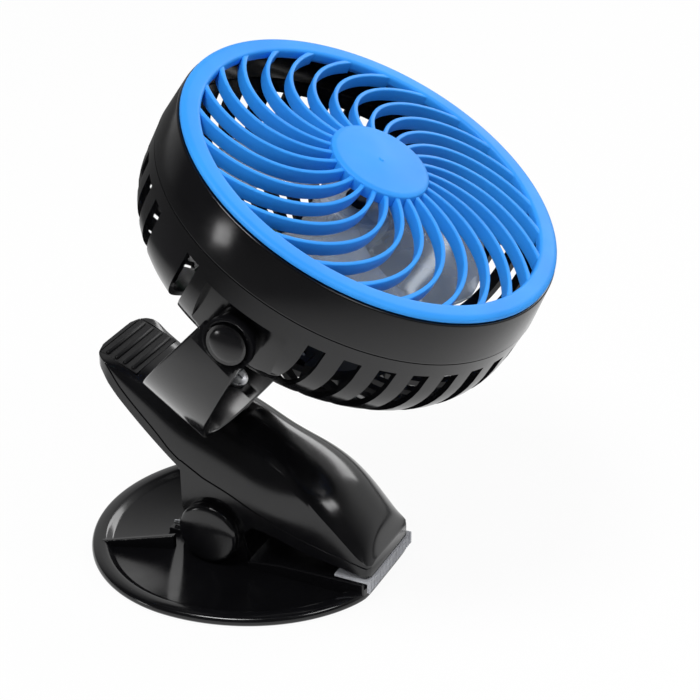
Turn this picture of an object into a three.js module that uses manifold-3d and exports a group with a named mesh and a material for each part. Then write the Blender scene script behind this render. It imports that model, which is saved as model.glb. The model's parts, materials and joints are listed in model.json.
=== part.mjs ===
// Clip fan: a round fan head tilts in a U strap, and the strap swivels on a spring clip that also stands as a foot.
// Millimetres, +Z up, +X towards the tip of the jaws, the table at z = 0 and the clip symmetric about y = 0.
import * as THREE from "three";
import { mergeVertices } from "three/addons/utils/BufferGeometryUtils.js";
import Module from "manifold-3d";

const wasm = await Module();
wasm.setup();

// ---- clearances and fineness ----
const GAP = 0.3; // between pieces that touch, and round each pin in its hole
const MERGE_WITHIN = 1e-4; // corners closer than this are one corner
const ROUND_STEPS = 72; // sides of the large round shells
const SMALL_STEPS = 22; // sides of caps, discs and knobs
const FINE_STEPS = 10; // sides of pins and screws

// ---- base tray ----
const TRAY_MIDDLE = 3; // x of the tray's widest line
const TRAY_REAR = 59.5; // from that line to the rear edge
const TRAY_FRONT = 69; // from that line to the front of the whole oval
const TRAY_HALF_WIDTH = 61.7; // half of the tray's width
const TRAY_CUT = 68.7; // x of the straight front edge
const TRAY_CUT_ROUNDING = 0.8; // how softly the oval meets the straight edge
const TRAY_STEPS = 64; // points round the outline
const TRAY_FLOOR = 1.3; // height of the floor inside the rim
const RIM_HEIGHT = 3.6; // height of the rim's crest
const RIM_WIDTH = 8.6; // from the outer edge to the floor
const RIM_ROUNDING = 0.8; // rounding of the lower outer edge
const FOOT_RADIUS = 3.2; // each rubber foot
const FOOT_THICKNESS = 1; // each rubber foot
const FOOT_INSET = 4.6; // from the outer edge to a foot's middle
const WALL_START_X = -16; // the two low walls start beside the pivot
const WALL_START_Y = 20.3; // their distance from the middle there
const WALL_START_TOP = 7.4; // their height there
const WALL_END_X = -46; // they run out to the rim here
const WALL_END_Y = 32; // their distance from the middle there
const WALL_END_TOP = 3.2; // their height there
const WALL_THICKNESS = 2.4; // of the two low walls
const REST_X = -21.5; // middle of the block that the spring's lower leg bears on
const REST_LENGTH = 5; // of that block
const REST_HALF_WIDTH = 11; // of that block

// ---- lower jaw ----
const JAW_HALF_WIDTH = 20.5; // of both jaws
const BEAM_REAR = 17; // x of the lower jaw's rear edge
const BEAM_REAR_TOP = 4.2; // height there
const BEAM_BEND = 31.2; // x where the top grows flatter
const BEAM_BEND_TOP = 6.3; // height there
const BEAM_FRONT_TOP = 7.7; // height at the front
const STRIP_REAR = 55; // x where the soft strip on the lower jaw starts
const STRIP_THICKNESS = 1.1; // of the soft strip
const STRIP_HALF_WIDTH = 20; // of the soft strip
const STRIP_LIP_BOTTOM = 4; // height of the lower edge of the lip that folds over the front
const TOOTH_PITCH = 1.4; // of the strip's teeth
const TOOTH_GROOVE = 0.6; // width and depth of the grooves between them

// ---- pivot ----
const PIVOT_X = 1.5; // the clip's hinge line
const PIVOT_Z = 15; // its height
const PIN_RADIUS = 2.5; // pivot pin
const PIN_HALF_LENGTH = 22.5; // pivot pin
const BASE_EAR_INNER = 15.3; // distance of a base ear's inner face from the middle
const EAR_THICKNESS = 2.5; // of all four ears
const BASE_EAR_RADIUS = 11; // round end of a base ear
const BASE_EAR_REAR = -14; // x of its foot's rear end
const BASE_EAR_FRONT = 16.5; // x of its foot's front end
const LEVER_EAR_RADIUS = 13; // round end of a lever ear
const LEVER_EAR_REAR = -12; // x where its rear edge meets the hood
const LEVER_EAR_FRONT = 22; // x where its front edge meets the hood
const LEVER_EAR_RISE = 3.8; // how far it runs up inside the hood's wall
const CAP_RADIUS = 12.7; // domed pivot cap
const CAP_RIM = 3.5; // straight part of the cap's edge
const CAP_DOME = 1.9; // rise of the dome over it
const GROOVE_WIDTH = 1.7; // ring groove round the cap
const GROOVE_DEPTH = 0.7; // ring groove round the cap

// ---- torsion spring ----
const SPRING_RADIUS = 6.2; // middle of the wire from the hinge line
const SPRING_WIRE = 0.9; // radius of the wire
const SPRING_PITCH = 2.4; // from curl to curl
const SPRING_CURLS = 6; // whole curls between the legs
const SPRING_LOW_ANGLE = -80; // degrees at which the lower leg leaves the coil
const SPRING_HIGH_ANGLE = 36.9; // degrees at which the upper leg leaves the coil
const SPRING_LOW_LEG = 26; // length of the lower leg
const SPRING_HIGH_LEG = 34; // length of the upper leg
const CURL_STEPS = 8; // straight steps in a curl
const WIRE_SIDES = 5; // sides of a wire

// ---- hood of the lever, as lines along x ----
const HOOD_REAR = -50.3; // x of the thumb end
const HOOD_FRONT = 69.3; // x of the tip
const HOOD_WALL = 2.3; // wall of the hollow hood
const HOOD_STATIONS = 23; // sections along it
const HOLLOW_STATIONS = 13; // sections along its hollow
const HOOD_ARCH_STEPS = 12; // points over its arch
const HOLLOW_REAR = -47.5; // x where the hollow starts
const HOLLOW_FRONT = 54; // x where the hollow ends and the solid tip starts
const BEAD = 0.4; // how far the rim bead stands out from the sides
const CROWN = [[-50.3, 81.6], [-38, 77.5], [-25, 72.8], [-5, 67], [8, 63.2], [22, 57.8], [38.5, 50.3],
  [47, 45], [54, 39.3], [60.5, 31], [66, 22.5], [69.3, 14]]; // height of the middle line
const BEAD_LINE = [[-50.3, 81], [-46, 80.3], [-44, 79], [-37.8, 70], [-20.8, 51.7], [-16.5, 46.8],
  [-7.8, 40.4], [9.8, 33.1], [22.8, 27], [40.1, 21.2], [57.3, 16.9], [69.3, 13.7]]; // top of the bead
const LOWER_EDGE = [[-50.3, 76], [-47.5, 75.5], [-45.7, 74], [-38.2, 64.6], [-19.7, 46], [-9.3, 37.3],
  [10, 24], [16, 20.5], [23.5, 19.8], [40.1, 15.6], [57.3, 12.2], [69.3, 9.5]]; // bottom of the bead
const HALF_WIDTH = [[-50.3, 11.5], [-49, 16], [-46, 19], [-42, JAW_HALF_WIDTH], [45, JAW_HALF_WIDTH],
  [66, 19.3], [68, 18.8], [69.3, 16.5]]; // half of its width
const SQUARENESS = [[-50, 6], [-32, 4], [-10, 2.6], [20, 2.4], [45, 2.8], [60, 4], [69, 6]]; // of its arch
const WEB_LENGTH = 8; // plate inside the hood that the spring's upper leg bears on
const WEB_THICKNESS = 2; // of that plate
const TIP_PAD_REAR = 56; // soft pad under the upper jaw's tip
const TIP_PAD_FRONT = 67; // its front end
const TIP_PAD_HALF_WIDTH = 16.6; // half of its width
const TIP_PAD_SEAT = 11.5; // height of its seat in the tip

// ---- thumb grip ----
const GRIP_X = -40.5; // middle of the grip on the crown
const GRIP_Z = 77.95; // its height
const GRIP_SLOPE = 20.7; // degrees that the crown falls there
const GRIP_HALF_LENGTH = 8.7; // of the grip plate
const GRIP_HALF_WIDTH = 15.5; // of the grip plate
const GRIP_DEPTH = 1.2; // of its recess
const GRIP_PROUD = 0.1; // the plate over the crown
const GRIP_RIDGES = 4; // ridges across the plate
const GRIP_RIDGE_PITCH = 4; // from ridge to ridge
const GRIP_RIDGE_WIDTH = 1; // of each ridge
const GRIP_RIDGE_HEIGHT = 0.8; // of each ridge

// ---- yoke ----
const HEAD_X = 42.2; // point where the tilt and fan axes cross
const HEAD_Z = 133.3; // its height
const SWIVEL_LEAN = 34; // degrees that the swivel axis leans forward
const STRAP_HALF_SPAN = 76; // from the middle to the outside of an arm
const STRAP_DEPTH = 74.6; // from the tilt axis to the underside of the strap
const STRAP_SQUARENESS = 2.35; // of its U shape
const STRAP_THICKNESS = 2.5; // of the strap
const STRAP_HALF_AT_ARM = 9.6; // half of its width at the arms
const STRAP_HALF_AT_FOOT = 16.9; // half of its width at the bottom
const STRAP_SHIFT_AT_ARM = -1.5; // how far it lies behind the axis at the arms
const STRAP_SHIFT_AT_FOOT = -4.8; // how far it lies behind the axis at the bottom
const STRAP_STEPS = 28; // sections along it
const STRAP_CHAMFER = 0.7; // of its four edges
const ARM_END_RADIUS = 9.7; // round end of each arm
const ARM_RECESS_RADIUS = 7.6; // recess for the cap
const ARM_RECESS_DEPTH = 1.6; // recess for the cap
const TILT_CAP_DOME = 2.2; // how far the cap stands out from the arm
const TILT_CAP_WALL = 1.8; // of the cap over the screw's head
const TILT_SCREW_RADIUS = 1.8; // shank
const TILT_HEAD_RADIUS = 4; // head of the tilt screw
const TILT_HEAD_HEIGHT = 1.4; // head of the tilt screw
const SWIVEL_WASHER_RADIUS = 11; // washer under the strap
const SWIVEL_WASHER_THICKNESS = 2.3; // washer under the strap
const SEAT_RADIUS = 12; // raised seat on the hood
const SEAT_DEPTH = 6.5; // how far down the seat reaches
const SEAT_NECK_RADIUS = 8; // boss inside the hood under the seat
const SEAT_NECK_DEPTH = 4; // length of that boss
const SWIVEL_SCREW_RADIUS = 2.4; // shank
const SWIVEL_HEAD_RADIUS = 5.5; // head of the swivel screw
const SWIVEL_HEAD_HEIGHT = 2.4; // head of the swivel screw
const NUT_RADIUS = 5; // across the corners of the nut, halved
const NUT_HEIGHT = 3.2; // of the nut

// ---- head shells, heights measured along the fan axis from the tilt axis ----
const HEAD_LEAN = 27.7; // degrees that the fan axis leans forward
const BOWL_RADIUS = 76; // at the shoulder
const BOWL_SHOULDER = 15; // height of the shoulder
const BOWL_FLARE = 0.03; // how fast the wall over the shoulder widens
const BOWL_DEPTH = 41; // from the shoulder to the bottom of the whole curve
const BOWL_SQUARENESS = 2.6; // of its side view
const BOWL_WALL = 2.2; // of the rear shell
const SEAM = 23.2; // height of the line between the two shells
const SLOT_TOP = 16; // height of the slots' square ends
const SLOT_LAST_ANGLE = 58.6; // degrees along the curve to the slots' rear ends
const SHELL_LAST_ANGLE = 66; // degrees along the curve to where the shell meets the rear plate
const SLOT_ROWS = 5; // steps along a slot
const SLOT_FIRST = -2; // degrees of the first slot's edge
const SLOT_SWEEP = 3; // degrees that a slot leans over its length
const SLOT_CURL = 12; // further degrees that it curls by its rear end
const SLOTS_LEFT_OUT = [6, 8, 9, 10, 24, 26, 27, 28]; // slots that are solid wall beside the tilt bosses
const PLATE_RADIUS = 41; // rear plate
const PLATE_TOP = -22.9; // rear plate's inner face
const PLATE_THICKNESS = 1.8; // rear plate
const PLATE_CHAMFER = 1.2; // rear plate's edge
const PAD_HALF_WIDTH = 19; // thick wall behind a tilt boss
const PAD_TOP = 17.5; // its upper end
const PAD_BOTTOM = -12; // its lower end
const PAD_INNER = 66.5; // distance of its inner face from the middle
const POCKET_HALF_WIDTH = 17; // flat pocket round a tilt boss
const POCKET_TOP = 14.6; // its upper end
const POCKET_FLOOR = 69.6; // distance of its floor from the middle
const BOSS_RADIUS = 9.2; // round boss under an arm's end
const BOSS_CLEARANCE = 0.42; // between them, where the strap already bows inwards

// ---- front ring and guard ----
const BAND_FRONT = 40.3; // height of the front edge of the black band
const BAND_FRONT_RADIUS = 74.6; // its outer radius there
const BAND_REAR_RADIUS = 76.4; // its outer radius at the seam
const BAND_WALL = 2.2; // of the band
const BAND_ROUNDING = 0.5; // of its front outer edge
const RING_RADIUS = 74; // blue ring
const RING_FRONT = 43; // height of its front face
const RING_INNER_RADIUS = 66.5; // its inner edge
const RING_THICKNESS = 2.4; // of its front plate
const RING_SKIRT_RADIUS = 71.9; // outside of the skirt that plugs into the band
const RING_SKIRT_WALL = 1.6; // wall of the skirt
const RING_SKIRT_BOTTOM = 36; // height of the skirt's lower edge
const GUARD_HUB_RADIUS = 19.2; // hub plate in the middle of the guard
const GUARD_HUB_FRONT = 48.5; // height of its front
const GUARD_HUB_THICKNESS = 2.5; // of its plate
const GUARD_HUB_SKIRT = 5.5; // height of its edge
const RIB_COUNT = 26; // curved ribs
const RIB_START = 18; // radius where they start
const RIB_END = 67.5; // radius where they end
const RIB_WIDTH = 1.7; // of each
const RIB_DEPTH = 5.5; // of each, along the axis
const RIB_TOP_AT_HUB = 47.4; // height of their front edge at the hub
const RIB_TOP_AT_RING = 42.4; // and at the ring
const RIB_SWEEP = 34; // degrees that they have turned at 0.85 of the ring's radius
const RIB_SWEEP_POWER = 1.6; // how the turn grows with the radius
const RIB_STEPS = 5; // straight steps in a rib

// ---- fan and motor ----
const BLADE_COUNT = 4; // clear blades
const BLADE_TIP_RADIUS = 53; // of the blades
const BLADE_ROOT_RADIUS = 13.8; // just inside the hub's wall
const BLADE_THICKNESS = 1.6; // along the axis
const BLADE_SPAN = 66; // degrees that a blade covers
const BLADE_SWEEP = 24; // degrees that its tip runs ahead of its root
const BLADE_ROOT_LOW = 13; // height of the root's rear edge
const BLADE_ROOT_HIGH = 26; // height of the root's front edge
const BLADE_TIP_LOW = 17; // height of the tip's rear edge
const BLADE_TIP_HIGH = 27; // height of the tip's front edge
const BLADE_SECTIONS = 5; // sections from root to tip
const BLADE_CHORD_STEPS = 4; // steps across a blade
const FAN_HUB_RADIUS = 14.5; // of the cup that the blades grow from
const FAN_HUB_TOP = 28; // its front
const FAN_HUB_BOTTOM = 8; // its rear edge
const FAN_HUB_WALL = 1.5; // of the cup
const FAN_BUSH_RADIUS = 2.8; // bush inside it that grips the shaft
const FAN_BUSH_BOTTOM = 20; // its rear end
const FAN_CAP_RADIUS = 5; // cap on the hub
const FAN_CAP_HEIGHT = 2.7; // cap on the hub
const SHAFT_RADIUS = 1; // motor shaft
const SHAFT_BOTTOM = 10.3; // its lower end in the motor
const MOTOR_RADIUS = 12; // motor can
const MOTOR_TOP = 16; // its front
const MOTOR_BOSS_RADIUS = 4; // bearing boss on the can
const MOTOR_BOSS_HEIGHT = 1.5; // bearing boss on the can
const CRADLE_TOP = -0.6; // plate that the motor stands on
const CRADLE_PLATE = 1.8; // its thickness
const CRADLE_PLATE_RADIUS = 15; // its round part
const CRADLE_HALF_WIDTH = 12.2; // outside of the channel round the cell
const CRADLE_HALF_LENGTH = 37.5; // outside of the channel round the cell
const CRADLE_WALL = 1.6; // of the channel
const CRADLE_BOTTOM = -20.5; // lower edge of the channel
const TAB_OUTER = 19; // reach of its four feet
const TAB_Y = 28; // middle of each foot
const TAB_HALF_WIDTH = 4; // of each foot
const TAB_THICKNESS = 2.3; // of each foot
const MOUNT_SCREW_X = 15.6; // place of the four screws
const MOUNT_SCREW_RADIUS = 1.2; // shank
const MOUNT_HEAD_RADIUS = 2.8; // head
const MOUNT_HEAD_HEIGHT = 1.2; // head

// ---- cell, board and controls ----
const CELL_RADIUS = 9.15; // rechargeable cell
const CELL_LENGTH = 65; // rechargeable cell
const CELL_SHIFT = 1.6; // its middle lies this far to the far side
const CELL_Z = -12.4; // its axis
const CONTACT_RADIUS = 5; // contact plate
const CONTACT_THICKNESS = 0.7; // contact plate
const CONTACT_NUB_RADIUS = 2.4; // raised middle of the contact
const CELL_SPRING_RADIUS = 3.4; // middle of its wire
const CELL_SPRING_WIRE = 0.3; // radius of its wire
const CELL_SPRING_CURLS = 3; // curls
const CONTROL_X = -26; // line of the dial, socket and lamp
const BOARD_LENGTH = 20; // circuit board along x
const BOARD_SHIFT = 1; // its middle lies this far inwards from the dial
const BOARD_HALF_WIDTH = 18; // circuit board
const BOARD_BOTTOM = -17.3; // its lower face
const BOARD_THICKNESS = 1.6; // circuit board
const POST_RADIUS = 2.2; // posts under the board
const POST_INSET = 3; // of the posts from its corners
const POT_SIZE = 10; // potentiometer's side
const POT_HEIGHT = 4.3; // potentiometer
const DIAL_RADIUS = 8; // speed dial
const DIAL_HEIGHT = 4.8; // speed dial
const DIAL_NOTCHES = 12; // finger notches round it
const DIAL_NOTCH_RADIUS = 0.8; // of each notch
const DIAL_CLEARANCE = 0.5; // under the dial
const DIAL_SHAFT_RADIUS = 1.8; // its shaft
const SOCKET_Y = -13; // power socket
const SOCKET_WIDTH = 7.6; // power socket
const SOCKET_HEIGHT = 2.9; // power socket
const SOCKET_WALL = 0.4; // power socket
const SOCKET_FLOOR = 1.4; // of its closed inner end
const LAMP_Y = 12; // lamp lens
const LAMP_RADIUS = 1.5; // lamp lens
const LAMP_PROUD = 0.4; // over the rear plate
const HATCH_HALF_WIDTH = 10.4; // opening for the cell
const HATCH_HALF_LENGTH = 34.6; // opening for the cell
const DOOR_LAP = 1.6; // how far the door covers round the opening
const DOOR_THICKNESS = 1.6; // door's plate
const DOOR_PLUG = 2.3; // how deep the door reaches into the opening
const DOOR_TAB_HALF_WIDTH = 4.5; // tab that the screw goes through
const DOOR_TAB_END = 40.2; // its end
const DOOR_SCREW_Y = 37.6; // place of the screw
const DOOR_SCREW_RADIUS = 1; // shank
const DOOR_SCREW_LENGTH = 4.6; // shank under the head
const DOOR_HEAD_RADIUS = 2; // head
const DOOR_HEAD_HEIGHT = 1; // head

// ---- materials ----
const surface = (color, roughness, metalness = 0) => new THREE.MeshStandardMaterial({ color, roughness, metalness });
const black = surface(0x101114, 0.25);
const matteBlack = surface(0x1a1b1e, 0.6);
const blue = surface(0x3f93ee, 0.3);
const paleGrey = surface(0xb9bcc2, 0.55);
const rubber = surface(0x2a2b2e, 0.9);
const steel = surface(0xa9adb3, 0.35, 1);
const smoky = surface(0x6d7988, 0.12);
const boardGreen = surface(0x1f5a3a, 0.5);
const cellWrap = surface(0x4a4f58, 0.4);
const lamp = surface(0x9fd7ff, 0.2);

// ---- joining and cutting ----
const radians = THREE.MathUtils.degToRad;
const mix = THREE.MathUtils.lerp;

// A closed geometry as a solid with its faces turned out.
function solidOf(geometry) {
  const loose = geometry.index ? geometry.toNonIndexed() : geometry;
  const plain = new THREE.BufferGeometry().setAttribute("position", loose.getAttribute("position"));
  const merged = mergeVertices(plain, MERGE_WITHIN);
  const triangles = [];
  for (let i = 0; i < merged.index.count; i += 3) {
    const [a, b, c] = merged.index.array.subarray(i, i + 3);
    if (a !== b && b !== c && c !== a) triangles.push([a, b, c]);
  }
  const build = (list) => new wasm.Manifold(new wasm.Mesh({
    numProp: 3,
    vertProperties: merged.getAttribute("position").array,
    triVerts: Uint32Array.from(list.flat()),
  }));
  const made = build(triangles);
  return made.volume() > 0 ? made : build(triangles.map(([a, b, c]) => [a, c, b]));
}

const toSolid = (shape) => (shape.isBufferGeometry ? solidOf(shape) : shape);
const join = (...shapes) => wasm.Manifold.union(shapes.map(toSolid));
const cut = (body, ...tools) => wasm.Manifold.difference([body, ...tools].map(toSolid));
const common = (...shapes) => wasm.Manifold.intersection(shapes.map(toSolid));

function geometryOf(shape) {
  const { vertProperties, triVerts } = toSolid(shape).getMesh();
  const geometry = new THREE.BufferGeometry();
  geometry.setAttribute("position", new THREE.BufferAttribute(vertProperties, 3));
  geometry.setIndex(new THREE.BufferAttribute(triVerts, 1));
  geometry.computeVertexNormals();
  return geometry;
}

function add(parent, name, shape, material) {
  const mesh = new THREE.Mesh(geometryOf(shape), material);
  mesh.name = name;
  parent.add(mesh);
}

// ---- basic shapes ----
function box([x0, x1], [y0, y1], [z0, z1]) {
  const block = new THREE.BoxGeometry(x1 - x0, y1 - y0, z1 - z0);
  return block.translate((x0 + x1) / 2, (y0 + y1) / 2, (z0 + z1) / 2);
}

// A round bar along Z.
function rod(radius, [z0, z1], steps = FINE_STEPS) {
  return new THREE.CylinderGeometry(radius, radius, z1 - z0, steps).rotateX(Math.PI / 2).translate(0, 0, (z0 + z1) / 2);
}

// A round bar along Y.
function barY(radius, [y0, y1], steps = FINE_STEPS) {
  return new THREE.CylinderGeometry(radius, radius, y1 - y0, steps).translate(0, (y0 + y1) / 2, 0);
}

// A profile of [radius, height] turned about Z.
function lathe(profile, steps = SMALL_STEPS) {
  return new THREE.LatheGeometry(profile.map(([r, z]) => new THREE.Vector2(r, z)), steps).rotateX(Math.PI / 2);
}

// A profile of [radius, distance] turned about Y; side is 1 for the far side and -1 for the near one.
function latheY(profile, side, steps = SMALL_STEPS) {
  return lathe(profile, steps).rotateX(side > 0 ? -Math.PI / 2 : Math.PI / 2);
}

// An outline of [x, z] points as a plate between two distances along Y.
function slab(outline, [y0, y1]) {
  const shape = new THREE.Shape(outline.map(([x, z]) => new THREE.Vector2(x, z)));
  const plate = new THREE.ExtrudeGeometry(shape, { depth: y1 - y0, bevelEnabled: false });
  return plate.rotateX(Math.PI / 2).translate(0, y1, 0);
}

function fromPoints(points) {
  return new THREE.BufferGeometry().setAttribute("position", new THREE.Float32BufferAttribute(points.flat(), 3));
}

// A closed skin through rings of equally many points, each end fanned from its middle.
function loft(rings) {
  const corners = [];
  const wrap = (ring, i) => ring[i % ring.length];
  rings.slice(1).forEach((ring, i) => ring.forEach((point, j) => {
    corners.push(rings[i][j], wrap(rings[i], j + 1), wrap(ring, j + 1));
    corners.push(rings[i][j], wrap(ring, j + 1), point);
  }));
  const middle = (ring) => [0, 1, 2].map((axis) => ring.reduce((sum, point) => sum + point[axis], 0) / ring.length);
  const first = rings[0];
  const last = rings.at(-1);
  first.forEach((point, j) => corners.push(middle(first), wrap(first, j + 1), point));
  last.forEach((point, j) => corners.push(middle(last), point, wrap(last, j + 1)));
  return fromPoints(corners);
}

// A wall between two grids of points that close on themselves sideways, without the cells that are open.
function piercedShell(outer, inner, isOpen) {
  const corners = [];
  const rows = outer.length - 1;
  const columns = outer[0].length;
  const quad = (a, b, c, d) => corners.push(a, b, c, a, c, d);
  const missing = (row, column) => row < 0 || row >= rows || isOpen(row, column);
  for (let row = 0; row < rows; row++) {
    for (let column = 0; column < columns; column++) {
      if (isOpen(row, column)) continue;
      const next = (column + 1) % columns;
      const before = (column + columns - 1) % columns;
      const cell = (grid) => [grid[row][column], grid[row][next], grid[row + 1][next], grid[row + 1][column]];
      const out = cell(outer);
      const back = cell(inner);
      quad(...out);
      quad(...back.toReversed());
      [[row - 1, column], [row, next], [row + 1, column], [row, before]].forEach((neighbour, k) => {
        const after = (k + 1) % 4;
        if (missing(...neighbour)) quad(out[after], out[k], back[k], back[after]);
      });
    }
  }
  return fromPoints(corners);
}

// A smooth line through [x, value] points that never swings past them.
function along(points, x) {
  const last = points.length - 2;
  const slope = (i) => (points[i + 1][1] - points[i][1]) / (points[i + 1][0] - points[i][0]);
  const tangent = (i) => {
    if (i === 0) return slope(0);
    if (i > last) return slope(last);
    const before = slope(i - 1);
    const after = slope(i);
    return before * after <= 0 ? 0 : (2 * before * after) / (before + after);
  };
  let i = 0;
  while (i < last && x > points[i + 1][0]) i++;
  const width = points[i + 1][0] - points[i][0];
  const t = THREE.MathUtils.clamp((x - points[i][0]) / width, 0, 1);
  const rise = points[i + 1][1] - points[i][1];
  const start = width * tangent(i);
  const end = width * tangent(i + 1);
  return points[i][1] + t * start + t * t * (3 * rise - 2 * start - end) + t * t * t * (start + end - 2 * rise);
}

// A round wire swept along points that wind about Y.
function wire(path, radius) {
  const points = path.map((point) => new THREE.Vector3(...point));
  const rings = points.map((point, i) => {
    const before = points[Math.max(i - 1, 0)];
    const after = points[Math.min(i + 1, points.length - 1)];
    const ahead = after.clone().sub(before).normalize();
    const side = new THREE.Vector3(0, 1, 0).addScaledVector(ahead, -ahead.y).normalize();
    const up = ahead.clone().cross(side);
    return Array.from({ length: WIRE_SIDES }, (_, k) => {
      const turn = (2 * Math.PI * k) / WIRE_SIDES;
      const corner = point.clone().addScaledVector(side, radius * Math.cos(turn));
      return corner.addScaledVector(up, radius * Math.sin(turn)).toArray();
    });
  });
  return loft(rings);
}

// The points of a coil about Y between two angles in degrees, from its start at y.
function coilPath(radius, pitch, y, fromAngle, toAngle) {
  const steps = Math.round(((toAngle - fromAngle) / 360) * CURL_STEPS);
  return Array.from({ length: steps + 1 }, (_, i) => {
    const angle = radians(mix(fromAngle, toAngle, i / steps));
    const turned = (i / steps) * ((toAngle - fromAngle) / 360);
    return [radius * Math.cos(angle), y + pitch * turned, radius * Math.sin(angle)];
  });
}

// The least free space between points of a wire's path that lie half a curl or more apart.
function leastSelfGap(path, radius) {
  let least = Infinity;
  path.forEach((a, i) => path.slice(i + CURL_STEPS / 2).forEach((b) => {
    least = Math.min(least, Math.hypot(a[0] - b[0], a[1] - b[1], a[2] - b[2]) - 2 * radius);
  }));
  return least;
}

const atPivot = (geometry) => geometry.translate(PIVOT_X, 0, PIVOT_Z);
const bothSides = (make) => [make(-1), make(1)];
const between = (side, inner, outer) => (side > 0 ? [inner, outer] : [-outer, -inner]);

// ---- base ----
// The tray's outline, drawn in by inset, at height z: two half ovals and a straight front.
function trayRing(inset, z) {
  return Array.from({ length: TRAY_STEPS }, (_, i) => trayPoint((360 * i) / TRAY_STEPS, inset, z));
}

function trayPoint(angle, inset, z) {
  const turn = radians(angle);
  const reach = (Math.cos(turn) > 0 ? TRAY_FRONT : TRAY_REAR) - inset;
  const x = TRAY_MIDDLE + reach * Math.cos(turn);
  const front = TRAY_CUT - inset;
  const cutX = (x + front - Math.hypot(x - front, TRAY_CUT_ROUNDING)) / 2;
  return [cutX, (TRAY_HALF_WIDTH - inset) * Math.sin(turn), z];
}

function tray() {
  const crest = RIM_WIDTH * 0.45;
  return loft([
    trayRing(RIM_ROUNDING, 0),
    trayRing(0, RIM_ROUNDING),
    trayRing(RIM_ROUNDING / 4, RIM_HEIGHT - 1),
    trayRing(RIM_ROUNDING * 1.5, RIM_HEIGHT - RIM_ROUNDING / 4),
    trayRing(crest, RIM_HEIGHT),
    trayRing(RIM_WIDTH - RIM_ROUNDING * 2, RIM_HEIGHT - RIM_ROUNDING / 2),
    trayRing(RIM_WIDTH - RIM_ROUNDING / 4, RIM_HEIGHT - RIM_ROUNDING * 2),
    trayRing(RIM_WIDTH, TRAY_FLOOR),
  ]);
}

function lowerBeam() {
  const profile = [[BEAM_REAR, 0.2], [TRAY_CUT, 0.2], [TRAY_CUT, BEAM_FRONT_TOP], [BEAM_BEND, BEAM_BEND_TOP],
    [BEAM_REAR, BEAM_REAR_TOP]];
  const outline = loft([trayRing(RIM_ROUNDING, 0), trayRing(0, RIM_ROUNDING), trayRing(0, PIVOT_Z)]);
  return common(slab(profile, [-JAW_HALF_WIDTH, JAW_HALF_WIDTH]), outline);
}

function baseEar(side) {
  const foot = [[BASE_EAR_REAR, TRAY_FLOOR / 2], [BASE_EAR_FRONT, TRAY_FLOOR / 2],
    [PIVOT_X + BASE_EAR_RADIUS, PIVOT_Z], [PIVOT_X - BASE_EAR_RADIUS, PIVOT_Z]];
  const width = between(side, BASE_EAR_INNER, BASE_EAR_INNER + EAR_THICKNESS);
  return join(slab(foot, width), atPivot(barY(BASE_EAR_RADIUS, width, SMALL_STEPS)));
}

function flaringWall(side) {
  const section = (x, y, top) => {
    const inner = y - WALL_THICKNESS / 2;
    const outer = y + WALL_THICKNESS / 2;
    const bottom = TRAY_FLOOR / 2;
    return [[x, side * inner, bottom], [x, side * outer, bottom], [x, side * outer, top], [x, side * inner, top]];
  };
  return loft([
    section(WALL_START_X, WALL_START_Y, WALL_START_TOP),
    section(WALL_END_X, WALL_END_Y, WALL_END_TOP),
  ]);
}

const FOOT_ANGLES = [45, 135, 225, 315];

function footShape(angle, radius, thickness) {
  const [x, y] = trayPoint(angle, FOOT_INSET, 0);
  return rod(radius, [0, thickness]).translate(x, y, 0);
}

// The height of the spring's lower leg over the rest block's middle.
function restTop() {
  const angle = radians(SPRING_LOW_ANGLE);
  const startX = PIVOT_X + SPRING_RADIUS * Math.cos(angle);
  const startZ = PIVOT_Z + SPRING_RADIUS * Math.sin(angle);
  const legEnd = startX - SPRING_LOW_LEG * Math.abs(Math.sin(angle));
  const lowest = startZ - (startX - Math.max(legEnd, REST_X - REST_LENGTH / 2)) * Math.tan(radians(SPRING_LOW_ANGLE + 90));
  return lowest - SPRING_WIRE - GAP;
}

function base() {
  const rest = box([REST_X - REST_LENGTH / 2, REST_X + REST_LENGTH / 2], [-REST_HALF_WIDTH, REST_HALF_WIDTH],
    [TRAY_FLOOR / 2, restTop()]);
  const body = join(tray(), lowerBeam(), rest, ...bothSides(baseEar), ...bothSides(flaringWall));
  const pinHole = atPivot(barY(PIN_RADIUS + GAP, [-PIN_HALF_LENGTH, PIN_HALF_LENGTH]));
  const footHoles = FOOT_ANGLES.map((angle) => {
    const hole = footShape(angle, FOOT_RADIUS + GAP, FOOT_THICKNESS + GAP + 1);
    return hole.translate(0, 0, -1);
  });
  return cut(body, pinHole, ...footHoles);
}

function lowerJawPad() {
  const bottom = BEAM_FRONT_TOP + GAP;
  const lipRear = TRAY_CUT + GAP;
  const lipFront = lipRear + STRIP_THICKNESS;
  const outline = [[STRIP_REAR, bottom], [lipRear, bottom], [lipRear, STRIP_LIP_BOTTOM], [lipFront, STRIP_LIP_BOTTOM],
    [lipFront, bottom + STRIP_THICKNESS], [STRIP_REAR, bottom + STRIP_THICKNESS]];
  const grooves = [];
  const count = Math.floor((2 * STRIP_HALF_WIDTH) / TOOTH_PITCH) - 1;
  for (let i = 0; i < count; i++) {
    const y = (i - (count - 1) / 2) * TOOTH_PITCH;
    grooves.push(box([lipFront - TOOTH_GROOVE, lipFront + 1], [y - TOOTH_GROOVE / 2, y + TOOTH_GROOVE / 2],
      [STRIP_LIP_BOTTOM - 1, bottom + STRIP_THICKNESS + 1]));
  }
  return cut(slab(outline, [-STRIP_HALF_WIDTH, STRIP_HALF_WIDTH]), ...grooves);
}

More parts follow.
